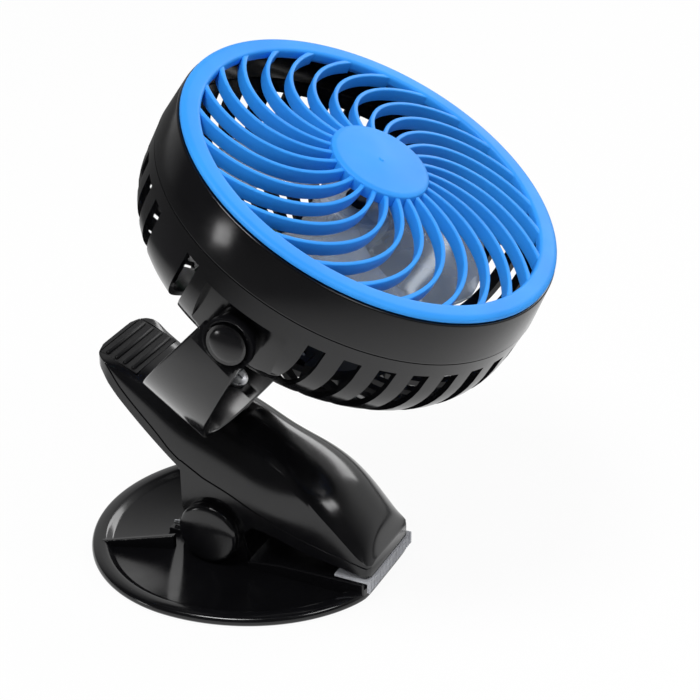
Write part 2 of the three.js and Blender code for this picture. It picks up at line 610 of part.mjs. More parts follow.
function pivotCap(side) {
  const inner = JAW_HALF_WIDTH + GAP;
  const outer = inner + CAP_RIM;
  const holeEnd = PIN_HALF_LENGTH + GAP;
  const hole = PIN_RADIUS + GAP;
  const dome = [0.97, 0.8, 0.5].map((share) => [CAP_RADIUS * share, outer + CAP_DOME * Math.sqrt(1 - share ** 2)]);
  const profile = [[0, holeEnd], [hole, holeEnd], [hole, inner], [CAP_RADIUS, inner], [CAP_RADIUS, outer], ...dome,
    [0, outer + CAP_DOME]];
  return atPivot(latheY(profile, side));
}

function torsionSpring() {
  const turns = SPRING_CURLS + (SPRING_HIGH_ANGLE - SPRING_LOW_ANGLE) / 360;
  const start = (-turns * SPRING_PITCH) / 2;
  const endAngle = SPRING_HIGH_ANGLE + 360 * SPRING_CURLS;
  const coil = coilPath(SPRING_RADIUS, SPRING_PITCH, start, SPRING_LOW_ANGLE, endAngle);
  const leg = (point, angle, length) => {
    const turn = radians(angle);
    return [point[0] - length * Math.sin(turn), point[1], point[2] + length * Math.cos(turn)];
  };
  const low = leg(coil[0], SPRING_LOW_ANGLE, -SPRING_LOW_LEG);
  const high = leg(coil.at(-1), SPRING_HIGH_ANGLE, SPRING_HIGH_LEG);
  const path = [low, ...coil, high];
  console.log("torsion spring, least gap to itself:", leastSelfGap(path, SPRING_WIRE).toFixed(2), "mm");
  return atPivot(wire(path, SPRING_WIRE));
}

// ---- lever ----
// One section of the hood, or of its hollow when wall is more than nothing.
function hoodSection(x, wall, drop, bead) {
  const half = along(HALF_WIDTH, x) - wall;
  const low = along(LOWER_EDGE, x) - drop;
  const top = along(CROWN, x) - wall * 1.1;
  const shoulder = Math.min(along(BEAD_LINE, x), top - wall * 0.1);
  const power = 2 / along(SQUARENESS, x);
  const arch = Array.from({ length: HOOD_ARCH_STEPS + 1 }, (_, i) => {
    const turn = (Math.PI * i) / HOOD_ARCH_STEPS;
    const across = Math.sign(Math.cos(turn)) * Math.abs(Math.cos(turn)) ** power;
    return [x, (half - bead) * across, shoulder + (top - shoulder) * Math.sin(turn) ** power];
  });
  return [[x, half, low], [x, half, shoulder], ...arch, [x, -half, shoulder], [x, -half, low]];
}

function hoodLoft(from, to, stations, wall, drop, bead) {
  return loft(Array.from({ length: stations + 1 }, (_, i) => {
    const u = i / stations;
    const eased = u - (0.8 * Math.sin(2 * Math.PI * u)) / (2 * Math.PI);
    return hoodSection(mix(from, to, eased), wall, drop, bead);
  }));
}

function leverEar(side) {
  const width = between(side, JAW_HALF_WIDTH - HOOD_WALL, JAW_HALF_WIDTH);
  const meets = (x) => [x, along(LOWER_EDGE, x) + LEVER_EAR_RISE];
  const outline = [[PIVOT_X - LEVER_EAR_RADIUS, PIVOT_Z], meets(LEVER_EAR_REAR), meets(LEVER_EAR_FRONT),
    [PIVOT_X + LEVER_EAR_RADIUS, PIVOT_Z]];
  return join(slab(outline, width), atPivot(barY(LEVER_EAR_RADIUS, width, SMALL_STEPS)));
}

function capGroove(side) {
  const inner = JAW_HALF_WIDTH - GROOVE_DEPTH;
  const outer = JAW_HALF_WIDTH + 1;
  const near = CAP_RADIUS + GAP;
  const far = near + GROOVE_WIDTH;
  return atPivot(latheY([[near, inner], [far, inner], [far, outer], [near, outer], [near, inner]], side));
}

const inYoke = (geometry) => geometry.rotateY(radians(SWIVEL_LEAN)).translate(HEAD_X, 0, HEAD_Z);
const seatTop = -(STRAP_DEPTH + GAP + SWIVEL_WASHER_THICKNESS + GAP);
const neckBottom = seatTop - SEAT_DEPTH - SEAT_NECK_DEPTH;

function swivelSeat() {
  const shoulder = seatTop - SEAT_DEPTH;
  const rounding = 0.8;
  return inYoke(lathe([[0, neckBottom], [SEAT_NECK_RADIUS, neckBottom], [SEAT_NECK_RADIUS, shoulder],
    [SEAT_RADIUS, shoulder], [SEAT_RADIUS, seatTop - rounding], [SEAT_RADIUS - rounding, seatTop], [0, seatTop]]));
}

// The plate across the hood that lies along the spring's upper leg.
function springWeb() {
  const angle = radians(SPRING_HIGH_ANGLE);
  const out = SPRING_RADIUS + SPRING_WIRE + GAP;
  const plate = box([out, out + WEB_THICKNESS], [-JAW_HALF_WIDTH + HOOD_WALL / 2, JAW_HALF_WIDTH - HOOD_WALL / 2],
    [SPRING_HIGH_LEG - WEB_LENGTH / 2, SPRING_HIGH_LEG + WEB_LENGTH / 2]);
  return atPivot(plate.rotateY(-angle));
}

const inGrip = (geometry) => geometry.rotateY(radians(GRIP_SLOPE)).translate(GRIP_X, 0, GRIP_Z);

function upperJaw() {
  const outside = hoodLoft(HOOD_REAR, HOOD_FRONT, HOOD_STATIONS, 0, 0, BEAD);
  const hollow = hoodLoft(HOLLOW_REAR, HOLLOW_FRONT, HOLLOW_STATIONS, HOOD_WALL, HOOD_WALL, 0);
  const body = join(cut(outside, hollow), ...bothSides(leverEar), common(springWeb(), outside), swivelSeat());
  const pinHole = atPivot(barY(PIN_RADIUS + GAP, [-PIN_HALF_LENGTH, PIN_HALF_LENGTH]));
  const screwHole = inYoke(rod(SWIVEL_SCREW_RADIUS + GAP, [neckBottom - 1, seatTop + 1]));
  const reach = GRIP_HALF_LENGTH + GAP;
  const across = GRIP_HALF_WIDTH + GAP;
  const gripRecess = inGrip(box([-reach, reach], [-across, across], [-GRIP_DEPTH, 5]));
  const padAcross = TIP_PAD_HALF_WIDTH + GAP;
  const padSeat = box([TIP_PAD_REAR - GAP, TIP_PAD_FRONT + GAP], [-padAcross, padAcross], [0, TIP_PAD_SEAT]);
  return cut(body, pinHole, screwHole, gripRecess, padSeat, ...bothSides(capGroove));
}

function thumbGrip() {
  const plate = box([-GRIP_HALF_LENGTH, GRIP_HALF_LENGTH], [-GRIP_HALF_WIDTH, GRIP_HALF_WIDTH],
    [GAP - GRIP_DEPTH, GRIP_PROUD]);
  const ridges = Array.from({ length: GRIP_RIDGES }, (_, i) => {
    const x = (i - (GRIP_RIDGES - 1) / 2) * GRIP_RIDGE_PITCH;
    const half = GRIP_RIDGE_WIDTH / 2;
    return box([x - half, x + half], [-GRIP_HALF_WIDTH + 1, GRIP_HALF_WIDTH - 1], [0, GRIP_PROUD + GRIP_RIDGE_HEIGHT]);
  });
  return join(plate, ...ridges);
}

function upperJawPad() {
  const bottom = BEAM_FRONT_TOP + GAP + STRIP_THICKNESS + GAP;
  const top = TIP_PAD_SEAT - GAP;
  const rearTop = Math.max(top, along(LOWER_EDGE, TIP_PAD_REAR) - GAP * 1.3);
  const bend = TIP_PAD_REAR + 4;
  return slab([[TIP_PAD_REAR, bottom], [TIP_PAD_FRONT, bottom], [TIP_PAD_FRONT, top], [bend + 2, top],
    [TIP_PAD_REAR, rearTop]], [-TIP_PAD_HALF_WIDTH, TIP_PAD_HALF_WIDTH]);
}

const nutTop = neckBottom - GAP;
const nutBottom = nutTop - NUT_HEIGHT;

function swivelScrew() {
  const headBottom = STRAP_THICKNESS - STRAP_DEPTH + GAP;
  const head = rod(SWIVEL_HEAD_RADIUS, [headBottom, headBottom + SWIVEL_HEAD_HEIGHT], SMALL_STEPS);
  return join(head, rod(SWIVEL_SCREW_RADIUS, [nutBottom + GAP, headBottom + 1]));
}

function swivelNut() {
  return cut(rod(NUT_RADIUS, [nutBottom, nutTop], 6), rod(SWIVEL_SCREW_RADIUS + GAP, [nutBottom - 1, nutTop + 1]));
}

// ---- yoke ----
// One section of the strap, at an angle round its U from the far arm's end.
function strapSection(angle) {
  const turn = radians(angle);
  const power = 2 / STRAP_SQUARENESS;
  const outward = Math.sign(Math.cos(turn)) * Math.abs(Math.cos(turn)) ** power;
  const down = Math.sin(turn) ** power;
  const half = mix(STRAP_HALF_AT_ARM, STRAP_HALF_AT_FOOT, down);
  const shift = mix(STRAP_SHIFT_AT_ARM, STRAP_SHIFT_AT_FOOT, down);
  const at = (x, depth) => {
    return [shift + x, outward * (STRAP_HALF_SPAN - depth), -down * (STRAP_DEPTH - depth)];
  };
  const narrow = half - STRAP_CHAMFER;
  const deep = STRAP_THICKNESS - STRAP_CHAMFER;
  return [at(-narrow, 0), at(narrow, 0), at(half, STRAP_CHAMFER), at(half, deep),
    at(narrow, STRAP_THICKNESS), at(-narrow, STRAP_THICKNESS), at(-half, deep), at(-half, STRAP_CHAMFER)];
}

function armEnd(side) {
  return barY(ARM_END_RADIUS, between(side, STRAP_HALF_SPAN - STRAP_THICKNESS, STRAP_HALF_SPAN), SMALL_STEPS);
}

function yoke() {
  const sections = Array.from({ length: STRAP_STEPS + 1 }, (_, i) => strapSection((180 * i) / STRAP_STEPS));
  const recess = (side) => {
    const floor = STRAP_HALF_SPAN - ARM_RECESS_DEPTH;
    return barY(ARM_RECESS_RADIUS, between(side, floor, STRAP_HALF_SPAN + 1), SMALL_STEPS);
  };
  const screwHoles = barY(TILT_SCREW_RADIUS + GAP, [-STRAP_HALF_SPAN - 1, STRAP_HALF_SPAN + 1]);
  const swivelHole = rod(SWIVEL_SCREW_RADIUS + GAP, [-STRAP_DEPTH - 1, 0]);
  return cut(join(loft(sections), ...bothSides(armEnd)), ...bothSides(recess), screwHoles, swivelHole);
}

function swivelWasher() {
  const ring = rod(SWIVEL_WASHER_RADIUS, [seatTop + GAP, -STRAP_DEPTH - GAP], SMALL_STEPS);
  return cut(ring, rod(SWIVEL_SCREW_RADIUS + GAP, [seatTop, -STRAP_DEPTH]));
}

const tiltHeadInner = STRAP_HALF_SPAN - ARM_RECESS_DEPTH + GAP;

function tiltCap(side) {
  const radius = ARM_RECESS_RADIUS - GAP;
  const ceiling = tiltHeadInner + TILT_HEAD_HEIGHT + GAP;
  const hollow = TILT_HEAD_RADIUS + 0.4;
  const edge = STRAP_HALF_SPAN + 0.2;
  const top = STRAP_HALF_SPAN + TILT_CAP_DOME;
  const middle = Math.max(top, ceiling + TILT_CAP_WALL);
  return latheY([[0, ceiling], [hollow, ceiling], [hollow, tiltHeadInner], [radius, tiltHeadInner], [radius, edge],
    [radius * 0.9, mix(edge, middle, 0.5)], [radius * 0.6, mix(edge, middle, 0.86)], [0, middle]], side);
}

// ---- head shells ----
function bowlRadius(h) {
  if (h >= BOWL_SHOULDER) return BOWL_RADIUS + BOWL_FLARE * (h - BOWL_SHOULDER);
  return BOWL_RADIUS * (1 - ((BOWL_SHOULDER - h) / BOWL_DEPTH) ** BOWL_SQUARENESS) ** (1 / BOWL_SQUARENESS);
}

const bowlHeight = (angle) => BOWL_SHOULDER - BOWL_DEPTH * Math.sin(radians(angle)) ** (2 / BOWL_SQUARENESS);

// Rows of the rear shell from the seam to the rear plate: each a height and how far its slots have turned.
function bowlRows() {
  const rows = [{ h: SEAM - GAP, turned: 0 }, { h: SLOT_TOP, turned: 0 }];
  for (let i = 1; i <= SLOT_ROWS; i++) {
    const t = i / SLOT_ROWS;
    rows.push({ h: bowlHeight(SLOT_LAST_ANGLE * t), turned: -SLOT_SWEEP * t - SLOT_CURL * t * t });
  }
  rows.push({ h: bowlHeight(SHELL_LAST_ANGLE), turned: -SLOT_SWEEP - SLOT_CURL });
  return rows;
}

// The bowl's rows as rings of points, on its outside or on the inside of its wall.
function bowlRings(wall) {
  const step = 1e-3;
  return bowlRows().map(({ h, turned }) => {
    const slope = (bowlRadius(h + step) - bowlRadius(h - step)) / (2 * step);
    const across = wall / Math.hypot(1, slope);
    const radius = bowlRadius(h) - across;
    const z = Math.min(h + across * slope, SEAM - GAP);
    return Array.from({ length: ROUND_STEPS }, (_, i) => {
      const angle = radians(SLOT_FIRST + turned + (360 * i) / ROUND_STEPS);
      return [radius * Math.cos(angle), radius * Math.sin(angle), z];
    });
  });
}

function slottedBowl() {
  const isSlot = (row, column) => {
    const inRows = row >= 1 && row <= SLOT_ROWS;
    return inRows && column % 2 === 0 && !SLOTS_LEFT_OUT.includes(column / 2);
  };
  return piercedShell(bowlRings(0), bowlRings(BOWL_WALL), isSlot);
}

const plateBottom = PLATE_TOP - PLATE_THICKNESS;

function rearPlate() {
  const narrow = PLATE_RADIUS - PLATE_CHAMFER;
  return lathe([[0, plateBottom], [narrow, plateBottom], [PLATE_RADIUS, plateBottom + PLATE_CHAMFER],
    [PLATE_RADIUS, PLATE_TOP], [0, PLATE_TOP]], ROUND_STEPS / 2);
}

const boardX = CONTROL_X + BOARD_SHIFT;
const throughPlate = [plateBottom - 1, PLATE_TOP + 1];

function boardPosts() {
  const x = BOARD_LENGTH / 2 - POST_INSET;
  const y = BOARD_HALF_WIDTH - POST_INSET;
  return [[-x, -y], [-x, y], [x, -y], [x, y]].map(([dx, dy]) => {
    return rod(POST_RADIUS, [PLATE_TOP - 1, BOARD_BOTTOM - GAP]).translate(boardX + dx, dy, 0);
  });
}

const mountPlaces = [[-1, -1], [1, -1], [1, 1], [-1, 1]].map(([a, b]) => [a * MOUNT_SCREW_X, b * TAB_Y]);

function rearHoles() {
  const hatch = box([-HATCH_HALF_WIDTH, HATCH_HALF_WIDTH], [-HATCH_HALF_LENGTH, HATCH_HALF_LENGTH], throughPlate);
  const dial = rod(DIAL_SHAFT_RADIUS + GAP, throughPlate).translate(CONTROL_X, 0, 0);
  const lampHole = rod(LAMP_RADIUS + GAP, throughPlate).translate(CONTROL_X, LAMP_Y, 0);
  const halfX = SOCKET_WIDTH / 2 + GAP;
  const halfY = SOCKET_HEIGHT / 2 + GAP;
  const socket = box([CONTROL_X - halfX, CONTROL_X + halfX], [SOCKET_Y - halfY, SOCKET_Y + halfY], throughPlate);
  const screws = mountPlaces.map(([x, y]) => rod(MOUNT_SCREW_RADIUS + GAP, throughPlate).translate(x, y, 0));
  const doorScrew = rod(DOOR_SCREW_RADIUS + GAP, throughPlate).translate(0, DOOR_SCREW_Y, 0);
  return [hatch, dial, lampHole, socket, doorScrew, ...screws];
}

const bossOuter = STRAP_HALF_SPAN - STRAP_THICKNESS - BOSS_CLEARANCE;

function rearHousing() {
  const solidBowl = toSolid(loft(bowlRings(0)));
  const pad = (side) => {
    const block = box([-PAD_HALF_WIDTH, PAD_HALF_WIDTH], between(side, PAD_INNER, BOWL_RADIUS + 2), [PAD_BOTTOM, PAD_TOP]);
    return common(block, solidBowl);
  };
  const pocket = (side) => box([-POCKET_HALF_WIDTH, POCKET_HALF_WIDTH], between(side, POCKET_FLOOR, BOWL_RADIUS + 2),
    [PLATE_TOP, POCKET_TOP]);
  const boss = (side) => barY(BOSS_RADIUS, between(side, PAD_INNER + 1, bossOuter), SMALL_STEPS);
  const bore = (side) => barY(TILT_SCREW_RADIUS + GAP, between(side, PAD_INNER + 0.5, bossOuter + 1));
  const walls = join(slottedBowl(), rearPlate(), ...bothSides(pad));
  const withBosses = join(cut(walls, ...bothSides(pocket)), ...bothSides(boss), ...boardPosts());
  return cut(withBosses, ...bothSides(bore), ...rearHoles());
}

function frontHousing() {
  const r = BAND_ROUNDING;
  const rearInner = BAND_REAR_RADIUS - BAND_WALL;
  const frontInner = BAND_FRONT_RADIUS - BAND_WALL;
  return lathe([[rearInner, SEAM], [BAND_REAR_RADIUS, SEAM], [BAND_FRONT_RADIUS, BAND_FRONT - r],
    [BAND_FRONT_RADIUS - r, BAND_FRONT], [frontInner, BAND_FRONT], [rearInner, SEAM]], ROUND_STEPS);
}

function guardRing() {
  const back = RING_FRONT - RING_THICKNESS;
  const skirtInner = RING_SKIRT_RADIUS - RING_SKIRT_WALL;
  const r = RING_THICKNESS / 3;
  return lathe([[skirtInner, RING_SKIRT_BOTTOM], [RING_SKIRT_RADIUS, RING_SKIRT_BOTTOM], [RING_SKIRT_RADIUS, back],
    [RING_RADIUS, back], [RING_RADIUS, RING_FRONT - r], [RING_RADIUS - 2 * r, RING_FRONT],
    [RING_INNER_RADIUS + r, RING_FRONT], [RING_INNER_RADIUS, RING_FRONT - r], [RING_INNER_RADIUS, back - 2 * r],
    [skirtInner, RING_SKIRT_BOTTOM]], ROUND_STEPS);
}

function guardHub() {
  const r = GUARD_HUB_RADIUS;
  const front = GUARD_HUB_FRONT;
  const underside = front - GUARD_HUB_THICKNESS;
  const bottom = front - GUARD_HUB_SKIRT;
  return lathe([[0, underside], [r - 2.2, underside], [r - 2.2, bottom], [r, bottom], [r, front - 1.2],
    [r - 0.8, front - 0.5], [r - 3, front - 0.1], [0, front]]);
}

// How far a rib has turned at a radius, in degrees.
function ribTurn(radius) {
  const share = (radius / RING_RADIUS - 0.27) / 0.58;
  return RIB_SWEEP * Math.max(share, 0) ** RIB_SWEEP_POWER;
}

function guardRib(index) {
  const sections = Array.from({ length: RIB_STEPS + 1 }, (_, i) => {
    const t = i / RIB_STEPS;
    const radius = mix(RIB_START, RIB_END, t);
    const angle = radians((360 * index) / RIB_COUNT - ribTurn(radius));
    const ahead = radians(ribTurn(radius + 1) - ribTurn(radius)) * radius;
    const lean = angle - Math.atan(ahead);
    const top = mix(RIB_TOP_AT_HUB, RIB_TOP_AT_RING, t);
    const at = (side, z) => [radius * Math.cos(angle) - side * Math.sin(lean), radius * Math.sin(angle) + side * Math.cos(lean), z];
    const half = RIB_WIDTH / 2;
    return [at(-half, top - RIB_DEPTH), at(half, top - RIB_DEPTH), at(half, top), at(-half, top)];
  });
  return loft(sections);
}

function frontGrille() {
  return join(guardRing(), guardHub(), ...Array.from({ length: RIB_COUNT }, (_, i) => guardRib(i)));
}

function tiltScrew(side) {
  const head = barY(TILT_HEAD_RADIUS, between(side, tiltHeadInner, tiltHeadInner + TILT_HEAD_HEIGHT), SMALL_STEPS);
  return join(head, barY(TILT_SCREW_RADIUS, between(side, PAD_INNER + 0.5 + GAP, tiltHeadInner + 1)));
}

// ---- motor, cell and board ----
function motorMount() {
  const inner = [CRADLE_HALF_WIDTH - CRADLE_WALL, CRADLE_HALF_LENGTH - CRADLE_WALL];
  const ceiling = CRADLE_TOP - CRADLE_PLATE;
  const outside = box([-CRADLE_HALF_WIDTH, CRADLE_HALF_WIDTH], [-CRADLE_HALF_LENGTH, CRADLE_HALF_LENGTH],
    [CRADLE_BOTTOM, CRADLE_TOP]);
  const room = box([-inner[0], inner[0]], [-inner[1], inner[1]], [CRADLE_BOTTOM - 1, ceiling]);
  const disc = rod(CRADLE_PLATE_RADIUS, [ceiling, CRADLE_TOP], SMALL_STEPS);
  const tabBottom = PLATE_TOP + GAP;
  const tabs = mountPlaces.map(([x, y]) => {
    const [near, far] = between(Math.sign(x), inner[0], TAB_OUTER);
    return box([near, far], [y - TAB_HALF_WIDTH, y + TAB_HALF_WIDTH], [tabBottom, tabBottom + TAB_THICKNESS]);
  });
  const holes = mountPlaces.map(([x, y]) => {
    return rod(MOUNT_SCREW_RADIUS + GAP, [PLATE_TOP, tabBottom + TAB_THICKNESS + 1]).translate(x, y, 0);
  });
  return cut(join(cut(outside, room), disc, ...tabs), ...holes);
}

function motor() {
  const can = rod(MOTOR_RADIUS, [CRADLE_TOP + GAP, MOTOR_TOP], SMALL_STEPS);
  const boss = rod(MOTOR_BOSS_RADIUS, [MOTOR_TOP - 1, MOTOR_TOP + MOTOR_BOSS_HEIGHT]);
  return cut(join(can, boss), rod(SHAFT_RADIUS + GAP, [SHAFT_BOTTOM - GAP, MOTOR_TOP + MOTOR_BOSS_HEIGHT + 1]));
}

function circuitBoard() {
  return box([boardX - BOARD_LENGTH / 2, boardX + BOARD_LENGTH / 2], [-BOARD_HALF_WIDTH, BOARD_HALF_WIDTH],
    [BOARD_BOTTOM, BOARD_BOTTOM + BOARD_THICKNESS]);
}

const underBoard = BOARD_BOTTOM - GAP;

function potentiometer() {
  const half = POT_SIZE / 2;
  return box([CONTROL_X - half, CONTROL_X + half], [-half, half], [underBoard - POT_HEIGHT, underBoard]);
}

function usbSocket() {
  const block = (wall, bottom, top) => {
    const halfX = SOCKET_WIDTH / 2 - wall;
    const halfY = SOCKET_HEIGHT / 2 - wall;
    return box([CONTROL_X - halfX, CONTROL_X + halfX], [SOCKET_Y - halfY, SOCKET_Y + halfY], [bottom, top]);
  };
  const mouth = plateBottom + 0.1;
  return cut(block(0, mouth, underBoard), block(SOCKET_WALL, mouth - 1, underBoard - SOCKET_FLOOR));
}

function ledLens() {
  return rod(LAMP_RADIUS, [plateBottom - LAMP_PROUD, underBoard]).translate(CONTROL_X, LAMP_Y, 0);
}

const cellEnds = [CELL_SHIFT - CELL_LENGTH / 2, CELL_SHIFT + CELL_LENGTH / 2];
const roomHalfLength = CRADLE_HALF_LENGTH - CRADLE_WALL;
const atCell = (geometry) => geometry.translate(0, 0, CELL_Z);

function batteryCell() {
  const [near, far] = cellEnds;
  const nub = 1.2;
  return atCell(latheY([[0, near], [CELL_RADIUS, near], [CELL_RADIUS, far - nub], [CELL_RADIUS / 3, far - nub],
    [CELL_RADIUS / 3, far], [0, far]], 1));
}

function batteryContact() {
  const outer = roomHalfLength - GAP;
  const inner = outer - CONTACT_THICKNESS;
  return atCell(latheY([[0, cellEnds[1] + GAP], [CONTACT_NUB_RADIUS, cellEnds[1] + GAP], [CONTACT_NUB_RADIUS, inner],
    [CONTACT_RADIUS, inner], [CONTACT_RADIUS, outer], [0, outer]], 1));
}

function batterySpring() {
  const from = GAP + CELL_SPRING_WIRE - roomHalfLength;
  const to = cellEnds[0] - GAP - CELL_SPRING_WIRE;
  const pitch = (to - from) / CELL_SPRING_CURLS;
  const path = coilPath(CELL_SPRING_RADIUS, pitch, from, 0, 360 * CELL_SPRING_CURLS);
  console.log("cell spring, least gap to itself:", leastSelfGap(path, CELL_SPRING_WIRE).toFixed(2), "mm");
  return atCell(wire(path, CELL_SPRING_WIRE));
}

function mountScrew([x, y]) {
  const headTop = plateBottom - GAP;
  const head = rod(MOUNT_HEAD_RADIUS, [headTop - MOUNT_HEAD_HEIGHT, headTop]);
  const shankTop = PLATE_TOP + GAP + TAB_THICKNESS - 0.5;
  return join(head, rod(MOUNT_SCREW_RADIUS, [headTop - 0.5, shankTop])).translate([x, y, 0]);
}

// ---- fan ----
function fanHub() {
  const inner = FAN_HUB_RADIUS - FAN_HUB_WALL;
  const ceiling = FAN_HUB_TOP - FAN_HUB_WALL;
  const bore = SHAFT_RADIUS + GAP;
  const rounding = 2;
  return lathe([[0, ceiling + 0.5], [bore, ceiling + 0.5], [bore, FAN_BUSH_BOTTOM], [FAN_BUSH_RADIUS, FAN_BUSH_BOTTOM],
    [FAN_BUSH_RADIUS, ceiling], [inner, ceiling], [inner, FAN_HUB_BOTTOM], [FAN_HUB_RADIUS, FAN_HUB_BOTTOM],
    [FAN_HUB_RADIUS, FAN_HUB_TOP - rounding], [FAN_HUB_RADIUS - rounding, FAN_HUB_TOP], [0, FAN_HUB_TOP]]);
}

function blade(index) {
  const sections = Array.from({ length: BLADE_SECTIONS + 1 }, (_, i) => {
    const t = i / BLADE_SECTIONS;
    const radius = mix(BLADE_ROOT_RADIUS, BLADE_TIP_RADIUS, t);
    const rounding = t > 0.8 ? 1 - 2.2 * (t - 0.8) : 1;
    const edge = (share, lift) => {
      const angle = (360 * index) / BLADE_COUNT + BLADE_SWEEP * t ** 1.4 + BLADE_SPAN * (share - 0.5) * rounding;
      const low = mix(BLADE_ROOT_LOW, BLADE_TIP_LOW, t);
      const high = mix(BLADE_ROOT_HIGH, BLADE_TIP_HIGH, t);
      const z = mix(low, high, 0.5 + (share - 0.5) * rounding) + Math.sin(Math.PI * share) + lift;
      return [radius * Math.cos(radians(angle)), radius * Math.sin(radians(angle)), z];
    };
    const shares = Array.from({ length: BLADE_CHORD_STEPS + 1 }, (_, k) => k / BLADE_CHORD_STEPS);
    return [...shares.map((share) => edge(share, 0)), ...shares.toReversed().map((share) => edge(share, BLADE_THICKNESS))];
  });
  return loft(sections);
}

function impeller() {
  return join(fanHub(), ...Array.from({ length: BLADE_COUNT }, (_, i) => blade(i)));
}

function impellerCap() {
  const bottom = FAN_HUB_TOP + GAP;
  const top = bottom + FAN_CAP_HEIGHT;
  return lathe([[0, bottom], [FAN_CAP_RADIUS, bottom], [FAN_CAP_RADIUS, top - 1], [FAN_CAP_RADIUS - 1, top], [0, top]]);
}

function motorShaft() {
  return rod(SHAFT_RADIUS, [SHAFT_BOTTOM, FAN_HUB_TOP - FAN_HUB_WALL + 0.5 - GAP]);
}

// ---- dial and door ----
function speedDial() {
  const top = plateBottom - DIAL_CLEARANCE;
  const bottom = top - DIAL_HEIGHT;
  const knob = lathe([[0, bottom], [DIAL_RADIUS - 1, bottom], [DIAL_RADIUS, bottom + 1], [DIAL_RADIUS, top], [0, top]]);
  const shaft = rod(DIAL_SHAFT_RADIUS, [top - 1, underBoard - POT_HEIGHT - GAP]);
  const notches = Array.from({ length: DIAL_NOTCHES }, (_, i) => {
    const angle = (2 * Math.PI * i) / DIAL_NOTCHES;
    const notch = rod(DIAL_NOTCH_RADIUS, [bottom - 1, top + 1], 6);
    return notch.translate(DIAL_RADIUS * Math.cos(angle), DIAL_RADIUS * Math.sin(angle), 0);
  });
  return cut(join(knob, shaft), ...notches);
}

const doorTop = plateBottom - GAP;
const doorBottom = doorTop - DOOR_THICKNESS;

function batteryDoor() {
  const halfX = HATCH_HALF_WIDTH + DOOR_LAP;
  const halfY = HATCH_HALF_LENGTH + DOOR_LAP;
  const flange = box([-halfX, halfX], [-halfY, halfY], [doorBottom, doorTop]);
  const tab = box([-DOOR_TAB_HALF_WIDTH, DOOR_TAB_HALF_WIDTH], [0, DOOR_TAB_END], [doorBottom, doorTop]);
  const plugX = HATCH_HALF_WIDTH - GAP;
  const plugY = HATCH_HALF_LENGTH - GAP;
  const plug = box([-plugX, plugX], [-plugY, plugY], [doorBottom, doorTop + DOOR_PLUG]);
  const hole = rod(DOOR_SCREW_RADIUS + GAP, [doorBottom - 1, doorTop + 1]).translate(0, DOOR_SCREW_Y, 0);
  return cut(join(flange, tab, plug), hole);
}

function doorScrew() {
  const headTop = doorBottom - GAP;
  const head = rod(DOOR_HEAD_RADIUS, [headTop - DOOR_HEAD_HEIGHT, headTop]);
  return join(head, rod(DOOR_SCREW_RADIUS, [headTop - 0.5, headTop + DOOR_SCREW_LENGTH])).translate([0, DOOR_SCREW_Y, 0]);
}

// ---- the whole fan ----
function placed(x, y, z, lean) {
  const group = new THREE.Group();
  group.position.set(x, y, z);
  group.rotation.y = radians(lean);
  return group;
}

const nearFar = [["near", -1], ["far", 1]];

function addClip(parent) {
  add(parent, "base", base(), black);
  FOOT_ANGLES.forEach((angle, i) => add(parent, `foot_pad_${i + 1}`, footShape(angle, FOOT_RADIUS, FOOT_THICKNESS), rubber));
  add(parent, "lower_jaw_pad", lowerJawPad(), paleGrey);
  add(parent, "pivot_pin", atPivot(barY(PIN_RADIUS, [-PIN_HALF_LENGTH, PIN_HALF_LENGTH])), steel);
  nearFar.forEach(([name, side]) => add(parent, `pivot_cap_${name}`, pivotCap(side), black));
  add(parent, "torsion_spring", torsionSpring(), steel);
}

function addLever(parent) {
  add(parent, "upper_jaw", upperJaw(), black);
  const grip = placed(GRIP_X, 0, GRIP_Z, GRIP_SLOPE);
  add(grip, "thumb_grip", thumbGrip(), matteBlack);
  parent.add(grip);
  add(parent, "upper_jaw_pad", upperJawPad(), paleGrey);
  const swivel = placed(HEAD_X, 0, HEAD_Z, SWIVEL_LEAN);
  add(swivel, "swivel_screw", swivelScrew(), steel);
  add(swivel, "swivel_nut", swivelNut(), steel);
  parent.add(swivel);
}

function addYoke(parent) {
  add(parent, "yoke", yoke(), black);
  add(parent, "swivel_washer", swivelWasher(), matteBlack);
  nearFar.forEach(([name, side]) => add(parent, `tilt_cap_${name}`, tiltCap(side), black));
}

function addHead(parent) {
  add(parent, "front_grille", frontGrille(), blue);
  add(parent, "front_housing", frontHousing(), black);
  add(parent, "rear_housing", rearHousing(), black);
  nearFar.forEach(([name, side]) => add(parent, `tilt_screw_${name}`, tiltScrew(side), steel));
  add(parent, "motor_mount", motorMount(), matteBlack);
  add(parent, "motor", motor(), steel);
  add(parent, "circuit_board", circuitBoard(), boardGreen);
  add(parent, "potentiometer", potentiometer(), matteBlack);
  add(parent, "usb_socket", usbSocket(), steel);
  add(parent, "led_lens", ledLens(), lamp);
  add(parent, "battery_cell", batteryCell(), cellWrap);
  add(parent, "battery_contact", batteryContact(), steel);
  add(parent, "battery_spring", batterySpring(), steel);
  mountPlaces.forEach((place, i) => add(parent, `mount_screw_${i + 1}`, mountScrew(place), steel));
}

function addFan(parent) {
  add(parent, "impeller", impeller(), smoky);
  add(parent, "impeller_cap", impellerCap(), matteBlack);
  add(parent, "motor_shaft", motorShaft(), steel);
}

function addControls(parent) {
  const dial = placed(CONTROL_X, 0, 0, 0);
  add(dial, "speed_dial", speedDial(), matteBlack);
  parent.add(dial);
  add(parent, "battery_door", batteryDoor(), black);
  add(parent, "door_screw", doorScrew(), steel);
}

const clipFan = new THREE.Group();
const yokeGroup = placed(HEAD_X, 0, HEAD_Z, SWIVEL_LEAN);
const headGroup = placed(HEAD_X, 0, HEAD_Z, HEAD_LEAN);
addClip(clipFan);
addLever(clipFan);
addYoke(yokeGroup);
addHead(headGroup);
addFan(headGroup);
addControls(headGroup);
clipFan.add(yokeGroup, headGroup);

